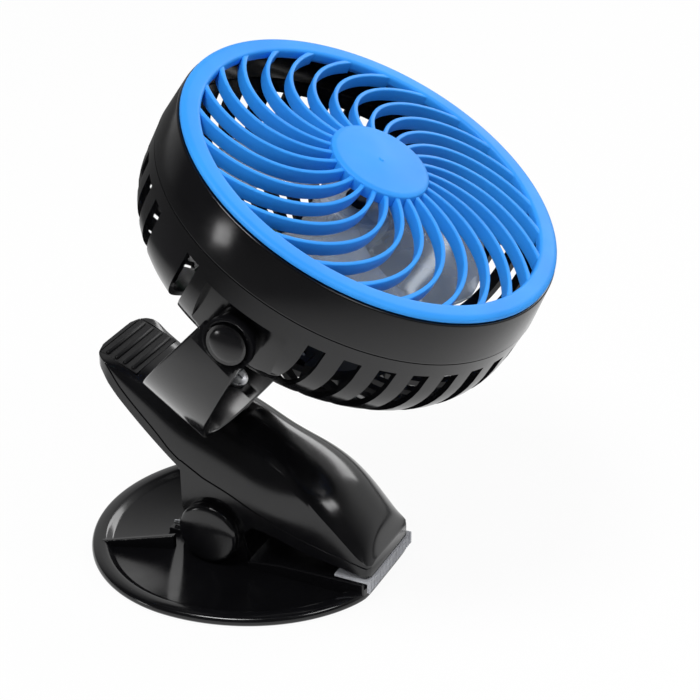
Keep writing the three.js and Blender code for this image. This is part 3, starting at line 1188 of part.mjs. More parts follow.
export default clipFan;
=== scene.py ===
"""Looks of the clip fan: smooth shells, guard, fan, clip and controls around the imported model, in metres.

Shapes are worked out in millimetres and scaled once, when a piece is made.
"""
import json
from math import asin, atan, cos, hypot, pi, radians, sin

import bmesh
import bpy
from mathutils import Matrix, Vector


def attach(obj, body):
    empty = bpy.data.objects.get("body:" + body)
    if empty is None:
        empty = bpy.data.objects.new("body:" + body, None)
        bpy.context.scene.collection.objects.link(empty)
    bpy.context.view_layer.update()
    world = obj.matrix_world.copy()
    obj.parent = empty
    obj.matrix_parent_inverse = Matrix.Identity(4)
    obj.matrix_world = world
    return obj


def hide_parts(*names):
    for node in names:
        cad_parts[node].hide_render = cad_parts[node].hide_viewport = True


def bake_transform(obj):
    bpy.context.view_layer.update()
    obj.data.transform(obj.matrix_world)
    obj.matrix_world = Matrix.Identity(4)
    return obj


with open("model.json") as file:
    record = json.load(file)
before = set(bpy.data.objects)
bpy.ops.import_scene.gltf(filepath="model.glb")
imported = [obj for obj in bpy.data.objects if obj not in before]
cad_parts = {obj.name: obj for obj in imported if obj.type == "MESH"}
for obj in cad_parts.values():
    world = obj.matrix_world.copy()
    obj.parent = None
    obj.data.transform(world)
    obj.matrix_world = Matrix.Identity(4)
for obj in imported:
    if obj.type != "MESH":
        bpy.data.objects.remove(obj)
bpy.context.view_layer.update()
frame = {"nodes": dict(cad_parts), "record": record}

MM = 0.001  # one millimetre in metres
GAP = 0.3  # between pieces that touch
SCENE = bpy.context.scene

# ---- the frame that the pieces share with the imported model, in millimetres and degrees ----
HEAD_POINT = (42.2, 0.0, 133.3)
HEAD_LEAN = 27.7
SWIVEL_LEAN = 34.0
PIVOT = (1.5, 0.0, 15.0)
STILL = Matrix.Identity(4)
HEAD = Matrix.Translation(HEAD_POINT) @ Matrix.Rotation(radians(HEAD_LEAN), 4, "Y")
YOKE = Matrix.Translation(HEAD_POINT) @ Matrix.Rotation(radians(SWIVEL_LEAN), 4, "Y")
AT_PIVOT = Matrix.Translation(PIVOT)


def on_head(x, y):
    return HEAD @ Matrix.Translation((x, y, 0))


# ---- camera: where the photograph was taken from ----
CAMERA_PLACE = (335.8, -599.8, 448.2)
CAMERA_AZIMUTH = 25.3
CAMERA_ELEVATION = 27.9
CAMERA_LENS = 102.86
CAMERA_SENSOR = 36.0


# Materials
def set_inputs(node, **values):
    """Fills input sockets; an underscore in a name stands for a space."""
    for name, value in values.items():
        node.inputs[name.replace("_", " ")].default_value = value
    return node


def new_material(name):
    material = bpy.data.materials.new(name)
    material.use_nodes = True
    tree = material.node_tree
    return material, tree, tree.nodes["Principled BSDF"]


def noise_node(tree, scale, detail=4.0, roughness=0.5):
    coordinates = tree.nodes.new("ShaderNodeTexCoord")
    noise = set_inputs(tree.nodes.new("ShaderNodeTexNoise"), Scale=scale, Detail=detail, Roughness=roughness)
    tree.links.new(coordinates.outputs["Object"], noise.inputs["Vector"])
    return noise.outputs["Fac"]


def spread(tree, source, low, high, start=0.3, end=0.7):
    """Maps a value that runs from start to end to one that runs from low to high."""
    ranged = tree.nodes.new("ShaderNodeMapRange")
    set_inputs(ranged, From_Min=start, From_Max=end, To_Min=low, To_Max=high)
    tree.links.new(source, ranged.inputs["Value"])
    return ranged.outputs["Result"]


def surface(tree, bsdf, tint, dark, light, smear, smoothness):
    """Colour and roughness that drift between their limits with two noises."""
    ramp = tree.nodes.new("ShaderNodeValToRGB")
    for element, position, colour in zip(ramp.color_ramp.elements, (0.35, 0.65), (dark, light)):
        element.position = position
        element.color = (*colour, 1.0)
    tree.links.new(tint, ramp.inputs["Fac"])
    tree.links.new(ramp.outputs["Color"], bsdf.inputs["Base Color"])
    tree.links.new(spread(tree, smear, *smoothness), bsdf.inputs["Roughness"])


def bumped(tree, bsdf, *sources):
    """Stacks (height, strength, distance) bumps on the shader's normal."""
    normal = None
    for height, strength, distance in sources:
        bump = set_inputs(tree.nodes.new("ShaderNodeBump"), Strength=strength, Distance=distance * MM)
        tree.links.new(height, bump.inputs["Height"])
        if normal:
            tree.links.new(normal, bump.inputs["Normal"])
        normal = bump.outputs["Normal"]
    tree.links.new(normal, bsdf.inputs["Normal"])


def plastic(name, dark, light, smoothness, grain, ripple=0.0, specular=0.5):
    """Moulded plastic: colour drifts a little, roughness is uneven, with fine grain and a slow ripple."""
    material, tree, bsdf = new_material(name)
    drift, smear = noise_node(tree, 22.0, 3.0), noise_node(tree, 75.0, 6.0, 0.65)
    surface(tree, bsdf, drift, dark, light, smear, smoothness)
    set_inputs(bsdf, Specular_IOR_Level=specular)
    heights = [(noise_node(tree, 2600.0, 2.0), grain, 0.05)]
    if ripple:
        heights.append((noise_node(tree, 45.0, 1.0), ripple, 0.25))
    bumped(tree, bsdf, *heights)
    return material


def rubbery(name, dark, light):
    material, tree, bsdf = new_material(name)
    patches = noise_node(tree, 60.0, 5.0)
    surface(tree, bsdf, patches, dark, light, patches, (0.6, 0.8))
    set_inputs(bsdf, Specular_IOR_Level=0.35)
    bumped(tree, bsdf, (noise_node(tree, 1500.0), 0.4, 0.08))
    return material


def metal(name, dark, light, smoothness):
    """Drawn or turned steel: streaks across the surface, with uneven gloss."""
    material, tree, bsdf = new_material(name)
    streak = noise_node(tree, 900.0, 3.0)
    vector = streak.node.inputs["Vector"]
    stretch = set_inputs(tree.nodes.new("ShaderNodeMapping"), Scale=(1.0, 0.12, 1.0))
    tree.links.new(vector.links[0].from_socket, stretch.inputs["Vector"])
    tree.links.new(stretch.outputs["Vector"], vector)
    surface(tree, bsdf, streak, dark, light, streak, smoothness)
    set_inputs(bsdf, Metallic=1.0)
    bumped(tree, bsdf, (streak, 0.15, 0.03))
    return material


def clear_plastic(name, dark, light, clearness):
    """Smoky clear plastic that lets part of the light through."""
    material, tree, bsdf = new_material(name)
    flow = noise_node(tree, 38.0)
    surface(tree, bsdf, flow, dark, light, flow, (0.08, 0.22))
    set_inputs(bsdf, Transmission_Weight=clearness, IOR=1.3)
    bumped(tree, bsdf, (flow, 0.08, 0.3))
    return material


def board_material(name):
    """Circuit board: green lacquer with paler tracks."""
    material, tree, bsdf = new_material(name)
    coordinates = tree.nodes.new("ShaderNodeTexCoord")
    tracks = set_inputs(tree.nodes.new("ShaderNodeTexBrick"), Scale=320.0, Mortar_Size=0.08,
                        Color1=(0.006, 0.09, 0.03, 1.0), Color2=(0.008, 0.12, 0.045, 1.0),
                        Mortar=(0.03, 0.24, 0.1, 1.0))
    tree.links.new(coordinates.outputs["Object"], tracks.inputs["Vector"])
    tree.links.new(tracks.outputs["Color"], bsdf.inputs["Base Color"])
    tree.links.new(spread(tree, tracks.outputs["Fac"], 0.3, 0.5, 0.0, 1.0), bsdf.inputs["Roughness"])
    return material


MATERIALS = {
    "black_gloss": plastic("black_gloss", (0.0030, 0.0030, 0.0036), (0.0052, 0.0052, 0.0062),
                           smoothness=(0.11, 0.20), grain=0.03, ripple=0.05, specular=0.5),
    "black_matte": plastic("black_matte", (0.0035, 0.0035, 0.004), (0.006, 0.006, 0.007),
                           smoothness=(0.38, 0.50), grain=0.35, specular=0.22),
    "blue": plastic("blue", (0.024, 0.285, 0.85), (0.032, 0.335, 0.92),
                    smoothness=(0.42, 0.50), grain=0.10, ripple=0.03, specular=0.25),
    "pale_grey": rubbery("pale_grey", (0.44, 0.45, 0.48), (0.55, 0.56, 0.59)),
    "rubber": rubbery("rubber", (0.012, 0.012, 0.012), (0.022, 0.022, 0.022)),
    "steel": metal("steel", (0.42, 0.43, 0.45), (0.62, 0.63, 0.65), (0.22, 0.38)),
    "smoky": clear_plastic("smoky", (0.60, 0.66, 0.72), (0.78, 0.83, 0.88), 0.72),
    "board": board_material("board"),
    "cell_wrap": plastic("cell_wrap", (0.05, 0.055, 0.07), (0.07, 0.075, 0.09),
                         smoothness=(0.25, 0.35), grain=0.05),
    "lamp": clear_plastic("lamp", (0.35, 0.62, 0.95), (0.5, 0.75, 1.0), 0.5),
}


# Shapes, in millimetres: each returns (points, faces)
SMOOTH_STEPS = 180  # round the large shells
CAP_STEPS = 64  # round caps, knobs and discs
PIN_STEPS = 24  # round pins and screws


def softened(points, radius, closed=False, steps=4):
    """The outline with each corner turned into a short curve."""
    curved = []
    count = len(points)
    for i, point in enumerate(points):
        corner = Vector(point)
        if not closed and i in (0, count - 1):
            curved.append(tuple(corner))
            continue
        back = Vector(points[i - 1]) - corner
        ahead = Vector(points[(i + 1) % count]) - corner
        start = corner + back.normalized() * min(radius, back.length * 0.45)
        end = corner + ahead.normalized() * min(radius, ahead.length * 0.45)
        for k in range(steps + 1):
            t = k / steps
            curved.append(tuple(start * (1 - t) ** 2 + corner * (2 * t * (1 - t)) + end * t * t))
    return curved


def lathe(profile, steps=CAP_STEPS, closed=False, axis="Z", wave=None):
    """A profile of (radius, height) turned about an axis; wave(angle, radius) scales the radius."""
    verts, rings = [], []
    for r, h in profile:
        if r == 0:
            rings.append([len(verts)] * steps)
            verts.append((0.0, 0.0, h))
            continue
        rings.append(list(range(len(verts), len(verts) + steps)))
        for j in range(steps):
            turn = 2 * pi * j / steps
            reach = r * (wave(turn, r) if wave else 1.0)
            verts.append((reach * cos(turn), reach * sin(turn), h))
    faces = []
    follow = rings[1:] + (rings[:1] if closed else [])
    for a, b in zip(rings, follow):
        for j in range(steps):
            n = (j + 1) % steps
            corners = list(dict.fromkeys((a[j], a[n], b[n], b[j])))
            if len(corners) > 2:
                faces.append(corners)
    if axis == "Y":
        verts = [(x, z, -y) for x, y, z in verts]
    return verts, faces


def sided(geometry, side):
    """The shape as it is for the far side, or mirrored for the near side."""
    verts, faces = geometry
    return ([(x, y * side, z) for x, y, z in verts], faces)


def loft(rings, capped=True):
    count = len(rings[0])
    verts = [p for ring in rings for p in ring]
    faces = []
    for i in range(len(rings) - 1):
        for j in range(count):
            n = (j + 1) % count
            faces.append((i * count + j, i * count + n, (i + 1) * count + n, (i + 1) * count + j))
    if capped:
        faces.append(tuple(range(count - 1, -1, -1)))
        faces.append(tuple(range((len(rings) - 1) * count, len(rings) * count)))
    return verts, faces


def slab(outline, y0, y1):
    """An outline of (x, z) points as a plate between two distances along Y."""
    return loft([[(x, y, z) for x, z in outline] for y in (y0, y1)])


def block(x, y, z):
    corners = [(x[0], z[0]), (x[1], z[0]), (x[1], z[1]), (x[0], z[1])]
    return slab(corners, *y)


def round_bar(radius, z0, z1, steps=PIN_STEPS, axis="Z"):
    return lathe([(0, z0), (radius, z0), (radius, z1), (0, z1)], steps, axis=axis)


def shifted(geometry, x, y):
    verts, faces = geometry
    return [(px + x, py + y, z) for px, py, z in verts], faces


def sweep(path, radius, sides=12):
    """A round wire along points that wind about Y."""
    points = [Vector(p) for p in path]
    rings = []
    for i, point in enumerate(points):
        ahead = (points[min(i + 1, len(points) - 1)] - points[max(i - 1, 0)]).normalized()
        side = (Vector((0, 1, 0)) - ahead * ahead.y).normalized()
        up = ahead.cross(side)
        turns = [2 * pi * k / sides for k in range(sides)]
        rings.append([tuple(point + side * (radius * cos(a)) + up * (radius * sin(a))) for a in turns])
    return loft(rings)


def merged(*shapes):
    verts, faces = [], []
    for more_verts, more_faces in shapes:
        start = len(verts)
        verts += more_verts
        faces += [tuple(start + i for i in face) for face in more_faces]
    return verts, faces


def along(points, x):
    """A smooth line through (x, value) points that never swings past them."""
    last = len(points) - 2

    def slope(i):
        return (points[i + 1][1] - points[i][1]) / (points[i + 1][0] - points[i][0])

    def tangent(i):
        if i == 0:
            return slope(0)
        if i > last:
            return slope(last)
        before, after = slope(i - 1), slope(i)
        return 0 if before * after <= 0 else 2 * before * after / (before + after)

    i = 0
    while i < last and x > points[i + 1][0]:
        i += 1
    width = points[i + 1][0] - points[i][0]
    t = min(max((x - points[i][0]) / width, 0), 1)
    rise = points[i + 1][1] - points[i][1]
    start, end = width * tangent(i), width * tangent(i + 1)
    return points[i][1] + t * start + t * t * (3 * rise - 2 * start - end) + t ** 3 * (start + end - 2 * rise)


def mix(a, b, t):
    return a + (b - a) * t


# Pieces: from a shape to an object that rides on a body
def make(name, geometry, place=STILL):
    verts, faces = geometry
    mesh = bpy.data.meshes.new(name)
    mesh.from_pydata([(place @ Vector(v)) * MM for v in verts], [], faces)
    bm = bmesh.new()
    bm.from_mesh(mesh)
    bmesh.ops.remove_doubles(bm, verts=bm.verts, dist=1e-3 * MM)
    bmesh.ops.recalc_face_normals(bm, faces=bm.faces)
    bm.to_mesh(mesh)
    bm.free()
    piece = bpy.data.objects.new(name, mesh)
    SCENE.collection.objects.link(piece)
    return piece


def bake(piece):
    """Replaces the mesh with what its modifiers make of it."""
    evaluated = piece.evaluated_get(bpy.context.evaluated_depsgraph_get())
    mesh = bpy.data.meshes.new_from_object(evaluated)
    piece.modifiers.clear()
    piece.data = mesh


def combine(piece, operation, *others):
    for other in others:
        modifier = piece.modifiers.new("combine", "BOOLEAN")
        modifier.operation = operation
        modifier.object = other
        modifier.solver = "EXACT"
    bake(piece)
    for other in others:
        bpy.data.objects.remove(other)


def dress(piece, body, slot, replaced=(), bevel=0.0, sharp=32.0, segments=2):
    """Rounds the edges, shades and colours the piece, and lets it ride on its body, if it has one."""
    if bevel:
        modifier = piece.modifiers.new("bevel", "BEVEL")
        modifier.width = bevel * MM
        modifier.segments = segments
        modifier.limit_method = "ANGLE"
        modifier.angle_limit = radians(sharp)
        modifier.harden_normals = True
    piece.data.polygons.foreach_set("use_smooth", [True] * len(piece.data.polygons))
    if bevel:
        bake(piece)
    else:
        piece.data.set_sharp_from_angle(angle=radians(sharp))
    piece.data.materials.clear()
    piece.data.materials.append(MATERIALS[slot])
    if replaced:
        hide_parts(*replaced)
    if body:
        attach(piece, body)


SIDES = (("near", -1), ("far", 1))


def span(side, inner, outer):
    """The two distances on this side, in rising order."""
    return sorted((side * inner, side * outer))


def turned(name, outline, soft, place, body, slot, replaced=(), steps=CAP_STEPS, closed=False):
    """A turned piece with softened corners."""
    piece = make(name, lathe(softened(outline, soft, closed), steps, closed), place)
    dress(piece, body, slot, replaced, sharp=45)


def paired(name, shape, place, body, node="", sharp=40):
    """A glossy piece on the far side, and its mirror image on the near side."""
    for side_name, side in SIDES:
        piece = make(name + side_name, sided(shape, side), place)
        dress(piece, body, "black_gloss", [node + side_name] if node else (), sharp=sharp)


# ---- head: ring, guard and band ----
RING_RADIUS = 74.0
RING_FRONT = 43.0
RING_INNER = 66.5
RING_BACK = 40.6
SKIRT_OUTER = 71.9
SKIRT_INNER = 70.3
SKIRT_BOTTOM = 36.0
HUB_RADIUS = 19.2
HUB_FRONT = 48.5
HUB_SKIRT = 5.5
RIB_COUNT = 26
RIB_START = 17.0
RIB_END = 67.8
RIB_WIDTH = 1.7
RIB_DEPTH = 5.5
RIB_TOP_AT_HUB = 47.4
RIB_TOP_AT_RING = 42.4
RIB_SWEEP = 34.0
RIB_SWEEP_POWER = 1.6
RIB_SWEEP_START = 0.27  # where the sweep begins, as a share of the ring's radius
RIB_SWEEP_LENGTH = 0.58  # the share of that radius in which it reaches RIB_SWEEP
RIB_STEPS = 22


def guard_ring():
    outline = [(RING_RADIUS, RING_BACK), (RING_RADIUS, RING_FRONT - 0.8), (RING_RADIUS - 1.6, RING_FRONT),
               (RING_INNER + 0.8, RING_FRONT), (RING_INNER, RING_FRONT - 0.8),
               (RING_INNER, RING_BACK - 1.6), (SKIRT_INNER, RING_BACK - 1.6), (SKIRT_INNER, SKIRT_BOTTOM),
               (SKIRT_OUTER, SKIRT_BOTTOM), (SKIRT_OUTER, RING_BACK)]
    turned("guard_ring", outline, 0.9, HEAD, "head", "blue", ["front_grille"], SMOOTH_STEPS, True)


def guard_hub():
    inner = HUB_RADIUS - 2.2
    bottom = HUB_FRONT - HUB_SKIRT
    outline = [(0, HUB_FRONT - 2.5), (inner, HUB_FRONT - 2.5), (inner, bottom), (HUB_RADIUS, bottom),
               (HUB_RADIUS, HUB_FRONT - 0.75), (HUB_RADIUS - 1.6, HUB_FRONT - 0.2),
               (1.0, HUB_FRONT - 0.05), (0.7, HUB_FRONT + 0.2), (0, HUB_FRONT + 0.25)]
    turned("guard_hub", outline, 0.6, HEAD, "head", "blue", steps=SMOOTH_STEPS // 2)


def rib_turn(radius):
    """Degrees by which a rib lags behind its root at this radius."""
    share = max((radius / RING_RADIUS - RIB_SWEEP_START) / RIB_SWEEP_LENGTH, 0.0)
    return RIB_SWEEP * share ** RIB_SWEEP_POWER


def guard_rib(index):
    rings = []
    half = RIB_WIDTH / 2
    corners = [(-half * 0.8, -RIB_DEPTH), (half * 0.8, -RIB_DEPTH), (half, 0.0), (-half, 0.0)]
    section = softened(corners, 0.5, True, 3)
    for i in range(RIB_STEPS + 1):
        t = i / RIB_STEPS
        radius = mix(RIB_START, RIB_END, t)
        angle = radians(360 * index / RIB_COUNT - rib_turn(radius))
        lean = angle - atan(radians(rib_turn(radius + 1) - rib_turn(radius)) * radius)
        top = mix(RIB_TOP_AT_HUB, RIB_TOP_AT_RING, t)
        wide = 1.0 + 0.35 * max(0.0, (t - 0.9) / 0.1) + 0.35 * max(0.0, (0.08 - t) / 0.08)
        rings.append([(radius * cos(angle) - side * wide * sin(lean),
                       radius * sin(angle) + side * wide * cos(lean), top + z) for side, z in section])
    return loft(rings)


def guard_ribs():
    ribs = make("guard_ribs", merged(*[guard_rib(i) for i in range(RIB_COUNT)]), HEAD)
    dress(ribs, "head", "blue", sharp=50)


SEAM = 23.2
BAND_FRONT = 40.3
BAND_FRONT_RADIUS = 74.6
BAND_REAR_RADIUS = 76.4
BAND_WALL = 2.2


def front_band():
    outline = [(BAND_REAR_RADIUS - BAND_WALL, SEAM), (BAND_REAR_RADIUS, SEAM),
               (BAND_FRONT_RADIUS, BAND_FRONT), (BAND_FRONT_RADIUS - BAND_WALL, BAND_FRONT)]
    turned("front_band", outline, 0.55, HEAD, "head", "black_gloss", ["front_housing"], SMOOTH_STEPS, True)


# ---- head: slotted bowl ----
BOWL_RADIUS = 76.0
BOWL_SHOULDER = 15.0
BOWL_FLARE = 0.03
BOWL_DEPTH = 41.0
BOWL_SQUARENESS = 2.6
BOWL_WALL = 2.2
SLOT_TOP = 17.2
SLOT_LAST_ANGLE = 60.0
SHELL_LAST_ANGLE = 66.0
SLOT_FIRST = -2.0
SLOT_SWEEP = 3.0
SLOT_CURL = 12.0
SLOT_COUNT = 36
SLOTS_LEFT_OUT = (6, 8, 9, 10, 24, 26, 27, 28)
SLOT_SPLIT = 3  # columns of faces in a slot or in the rib beside it
SLOT_FINE_ROWS = 15
PLATE_RADIUS = 41.0
PLATE_TOP = -22.9
PLATE_BOTTOM = -24.7
PAD_HALF_WIDTH = 19.0
PAD_TOP = 17.5
PAD_BOTTOM = -12.0
PAD_INNER = 66.5
POCKET_HALF_WIDTH = 17.0
POCKET_TOP = 14.6
POCKET_FLOOR = 69.6
BOSS_RADIUS = 9.2
BOSS_OUTER = 73.08
TILT_HOLE = 2.1  # radius of the tilt screws' holes


def bowl_radius(h):
    if h >= BOWL_SHOULDER:
        return BOWL_RADIUS + BOWL_FLARE * (h - BOWL_SHOULDER)
    return BOWL_RADIUS * (1 - ((BOWL_SHOULDER - h) / BOWL_DEPTH) ** BOWL_SQUARENESS) ** (1 / BOWL_SQUARENESS)


def bowl_rows():
    """(height, degrees turned) from the seam to the rear plate; the first and last strips have no slots."""
    rows = [(SEAM - GAP, 0.0), (SLOT_TOP, 0.0)]
    for i in range(1, SLOT_FINE_ROWS + 1):
        t = i / SLOT_FINE_ROWS
        height = BOWL_SHOULDER - BOWL_DEPTH * sin(radians(SLOT_LAST_ANGLE * t)) ** (2 / BOWL_SQUARENESS)
        rows.append((min(height, SLOT_TOP - 0.5 * i), -SLOT_SWEEP * t - SLOT_CURL * t * t))
    end = BOWL_SHOULDER - BOWL_DEPTH * sin(radians(SHELL_LAST_ANGLE)) ** (2 / BOWL_SQUARENESS)
    rows.append((end, -SLOT_SWEEP - SLOT_CURL))
    return rows


def bowl_shell():
    """The bowl's wall with its slots left open, as faces between two grids."""
    columns = SLOT_COUNT * 2 * SLOT_SPLIT
    grids = []
    for wall in (0.0, BOWL_WALL):
        grid = []
        for h, twist in bowl_rows():
            slope = (bowl_radius(h + 0.001) - bowl_radius(h - 0.001)) / 0.002
            across = wall / hypot(1, slope)
            radius, z = bowl_radius(h) - across, min(h + across * slope, SEAM - GAP)
            angles = [radians(SLOT_FIRST + twist + 360 * j / columns) for j in range(columns)]
            grid.append([(radius * cos(a), radius * sin(a), z) for a in angles])
        grids.append(grid)
    rows = len(grids[0]) - 1
    verts = [p for grid in grids for ring in grid for p in ring]
    inside = (rows + 1) * columns

    def is_open(row, column):
        slot, part = divmod(column // SLOT_SPLIT, 2)
        return 1 <= row <= SLOT_FINE_ROWS and part == 0 and slot not in SLOTS_LEFT_OUT

    faces = []
    for row in range(rows):
        for column in range(columns):
            if is_open(row, column):
                continue
            after, before = (column + 1) % columns, (column - 1) % columns
            here, below = row * columns, (row + 1) * columns
            out = [here + column, here + after, below + after, below + column]
            faces.append(tuple(out))
            faces.append(tuple(inside + i for i in reversed(out)))
            beside = [(row - 1, column), (row, after), (row + 1, column), (row, before)]
            for k, (r, c) in enumerate(beside):
                if r < 0 or r >= rows or is_open(r, c):
                    a, b = out[k], out[(k + 1) % 4]
                    faces.append((b, a, inside + a, inside + b))
    return verts, faces


def whole_bowl(shrink=0.0):
    profile = [(bowl_radius(h) - shrink, h) for h, _ in bowl_rows()]
    return lathe([(0, profile[0][1])] + profile + [(0, profile[-1][1])], SLOT_COUNT * 2 * SLOT_SPLIT)


def rear_bowl():
    bowl = make("rear_bowl", bowl_shell(), HEAD)
    for _, side in SIDES:
        y = span(side, PAD_INNER, BOWL_RADIUS + 2)
        pad = make("pad", block((-PAD_HALF_WIDTH, PAD_HALF_WIDTH), y, (PAD_BOTTOM, PAD_TOP)), HEAD)
        combine(pad, "INTERSECT", make("limit", whole_bowl(0.02), HEAD))
        combine(bowl, "UNION", pad)
        x = (-POCKET_HALF_WIDTH, POCKET_HALF_WIDTH)
        y = span(side, POCKET_FLOOR, BOWL_RADIUS + 2)
        combine(bowl, "DIFFERENCE", make("pocket", block(x, y, (PLATE_TOP, POCKET_TOP)), HEAD))
    dress(bowl, "head", "black_gloss", ["rear_housing"], bevel=0.35, sharp=40)


def tilt_bosses():
    outline = [(0, PAD_INNER + 1), (BOSS_RADIUS, PAD_INNER + 1), (BOSS_RADIUS, BOSS_OUTER),
               (TILT_HOLE, BOSS_OUTER), (TILT_HOLE, PAD_INNER + 2), (0, PAD_INNER + 2)]
    paired("tilt_boss_", lathe(softened(outline, 0.4), axis="Y"), HEAD, "head", sharp=45)


# ---- head: rear plate with its controls ----
CONTROL_X = -26.0
SOCKET_Y = -13.0
LAMP_Y = 12.0
HATCH = (10.4, 34.6)
MOUNT_PLACES = ((-15.6, -28.0), (15.6, -28.0), (15.6, 28.0), (-15.6, 28.0))
MOUNT_HOLE = 1.5
DOOR_SCREW_Y = 37.6
DOOR_HOLE = 1.3
DOOR_OVERLAP = 1.6  # of the door round its hatch
TAB = (4.5, 40.2)  # half width and end of the door's tab
BOARD_BACK = -17.6  # where the posts, the socket and the lamp stop under the board
DIAL_RADIUS = 8.0
DIAL_TOP = -25.2
DIAL_BOTTOM = -30.0
DIAL_RIDGES = 36
DIAL_RIDGE_SHARE = 0.035  # depth of a ridge as a share of the radius
DOOR_TOP = -25.0
DOOR_BOTTOM = -26.6


def rear_plate():
    outline = [(0, PLATE_BOTTOM), (PLATE_RADIUS - 1.2, PLATE_BOTTOM),
               (PLATE_RADIUS, PLATE_BOTTOM + 1.2), (PLATE_RADIUS, PLATE_TOP), (0, PLATE_TOP)]
    plate = make("rear_plate", lathe(softened(outline, 0.5), SMOOTH_STEPS), HEAD)
    through = (PLATE_BOTTOM - 1, PLATE_TOP + 1)
    holes = [block((-HATCH[0], HATCH[0]), (-HATCH[1], HATCH[1]), through),
             block((CONTROL_X - 4.1, CONTROL_X + 4.1), (SOCKET_Y - 1.75, SOCKET_Y + 1.75), through)]
    round_holes = [(CONTROL_X, 0, 2.1), (CONTROL_X, LAMP_Y, 1.8), (0, DOOR_SCREW_Y, DOOR_HOLE)]
    round_holes += [(x, y, MOUNT_HOLE) for x, y in MOUNT_PLACES]
    cutters = [make("hole", hole, HEAD) for hole in holes]
    cutters += [make("hole", round_bar(radius, *through), on_head(x, y)) for x, y, radius in round_holes]
    combine(plate, "DIFFERENCE", *cutters)
    dress(plate, "head", "black_matte", bevel=0.25, sharp=50)


def board_posts():
    post = round_bar(2.2, PLATE_TOP - 1, BOARD_BACK)
    posts = [shifted(post, CONTROL_X + 1 + dx, dy) for dx in (-7, 7) for dy in (-15, 15)]
    dress(make("board_posts", merged(*posts), HEAD), "head", "black_matte", bevel=0.2)


def speed_dial():
    def wave(turn, r):
        on_rim = r > DIAL_RADIUS - 0.6
        return 1.0 - (DIAL_RIDGE_SHARE * (0.5 + 0.5 * cos(DIAL_RIDGES * turn)) ** 2 if on_rim else 0.0)

    outline = [(0, DIAL_BOTTOM + 0.35), (DIAL_RADIUS - 3, DIAL_BOTTOM + 0.35),
               (DIAL_RADIUS - 2.6, DIAL_BOTTOM), (DIAL_RADIUS - 0.8, DIAL_BOTTOM),
               (DIAL_RADIUS, DIAL_BOTTOM + 0.8), (DIAL_RADIUS, DIAL_TOP),
               (1.8, DIAL_TOP), (1.8, -22.2), (0, -22.2)]
    place = on_head(CONTROL_X, 0)
    dial = make("dial_knob", lathe(softened(outline, 0.35, steps=3), DIAL_RIDGES * 8, wave=wave), place)
    mark = make("mark", block((3.5, 6.6), (-0.35, 0.35), (DIAL_BOTTOM - 1, DIAL_BOTTOM + 0.25)), place)
    combine(dial, "DIFFERENCE", mark)
    dress(dial, "dial", "black_matte", ["speed_dial"], sharp=38)


def battery_door():
    half_x, half_y = HATCH[0] + DOOR_OVERLAP, HATCH[1] + DOOR_OVERLAP
    tab, tab_end = TAB
    outline = [(-half_x, -half_y), (half_x, -half_y), (half_x, half_y), (tab, half_y),
               (tab, tab_end), (-tab, tab_end), (-tab, half_y), (-half_x, half_y)]
    rounded = softened(outline, 1.6, True, 5)
    door = make("door_plate", loft([[(x, y, z) for x, y in rounded] for z in (DOOR_BOTTOM, DOOR_TOP)]), HEAD)
    cutters = [make("hole", round_bar(DOOR_HOLE, DOOR_BOTTOM - 1, DOOR_TOP + 1), on_head(0, DOOR_SCREW_Y))]
    for i in range(7):
        y = -30.0 + 1.9 * i
        groove = block((-7, 7), (y, y + 0.8), (DOOR_BOTTOM - 1, DOOR_BOTTOM + 0.45))
        cutters.append(make("groove", groove, HEAD))
    combine(door, "DIFFERENCE", *cutters)
    dress(door, "door", "black_gloss", ["battery_door"], bevel=0.3, sharp=40)
    x, y = HATCH[0] - GAP, HATCH[1] - GAP
    plug = make("door_plug", block((-x, x), (-y, y), (DOOR_TOP - 0.4, DOOR_TOP + 2.3)), HEAD)
    dress(plug, "door", "black_gloss", bevel=0.4)


def screw(name, place, head_radius, head, shank_radius, shank_end, body, node):
    """A pan head with a cross slot; head is (outer face, inner face), and shank_end the far end."""
    outer, inner = head
    sign = 1 if inner > outer else -1
    outline = [(0, outer), (head_radius * 0.6, outer + sign * 0.1), (head_radius, outer + sign * 0.55),
               (head_radius, inner), (shank_radius, inner), (shank_radius, shank_end), (0, shank_end)]
    piece = make(name, lathe(softened(outline, 0.2, steps=3), PIN_STEPS), place)
    arm, width = head_radius * 0.55, head_radius * 0.11
    depth = sorted((outer - sign, outer + sign * 0.7))
    combine(piece, "DIFFERENCE", make("slot", block((-arm, arm), (-width, width), depth), place),
            make("slot", block((-width, width), (-arm, arm), depth), place))
    dress(piece, body, "steel", [node], sharp=35)


def rear_screws():
    for i, (x, y) in enumerate(MOUNT_PLACES):
        screw(f"case_screw_{i + 1}", on_head(x, y), 2.8, (-26.2, -25.0), 1.2, -20.8,
              "head", f"mount_screw_{i + 1}")
    screw("door_bolt", on_head(0, DOOR_SCREW_Y), 2.0, (-27.9, -26.9), 1.0, -22.3, "door", "door_screw")


def lamp_lens():
    outline = [(0, -25.1), (1.5, -24.8), (1.5, BOARD_BACK), (0, BOARD_BACK)]
    turned("lamp_lens", outline, 0.4, on_head(CONTROL_X, LAMP_Y), "head", "lamp", ["led_lens"], 32)


def socket_shell():
    place = on_head(CONTROL_X, SOCKET_Y)

    def oval(half_x, half_y, z):
        corners = [(-half_x, -half_y), (half_x, -half_y), (half_x, half_y), (-half_x, half_y)]
        return [(x, y, z) for x, y in softened(corners, 0.9, True, 4)]

    outer, inner = (3.8, 1.45), (3.4, 1.05)
    rings = [oval(*outer, BOARD_BACK), oval(*outer, -24.6), oval(*inner, -24.6), oval(*inner, -19.0)]
    dress(make("socket_shell", loft(rings), place), "head", "steel", ["usb_socket"], sharp=40)
    tongue = make("socket_tongue", block((-2.6, 2.6), (-0.3, 0.3), (-24.0, -19.2)), place)
    dress(tongue, "head", "black_matte", bevel=0.1)


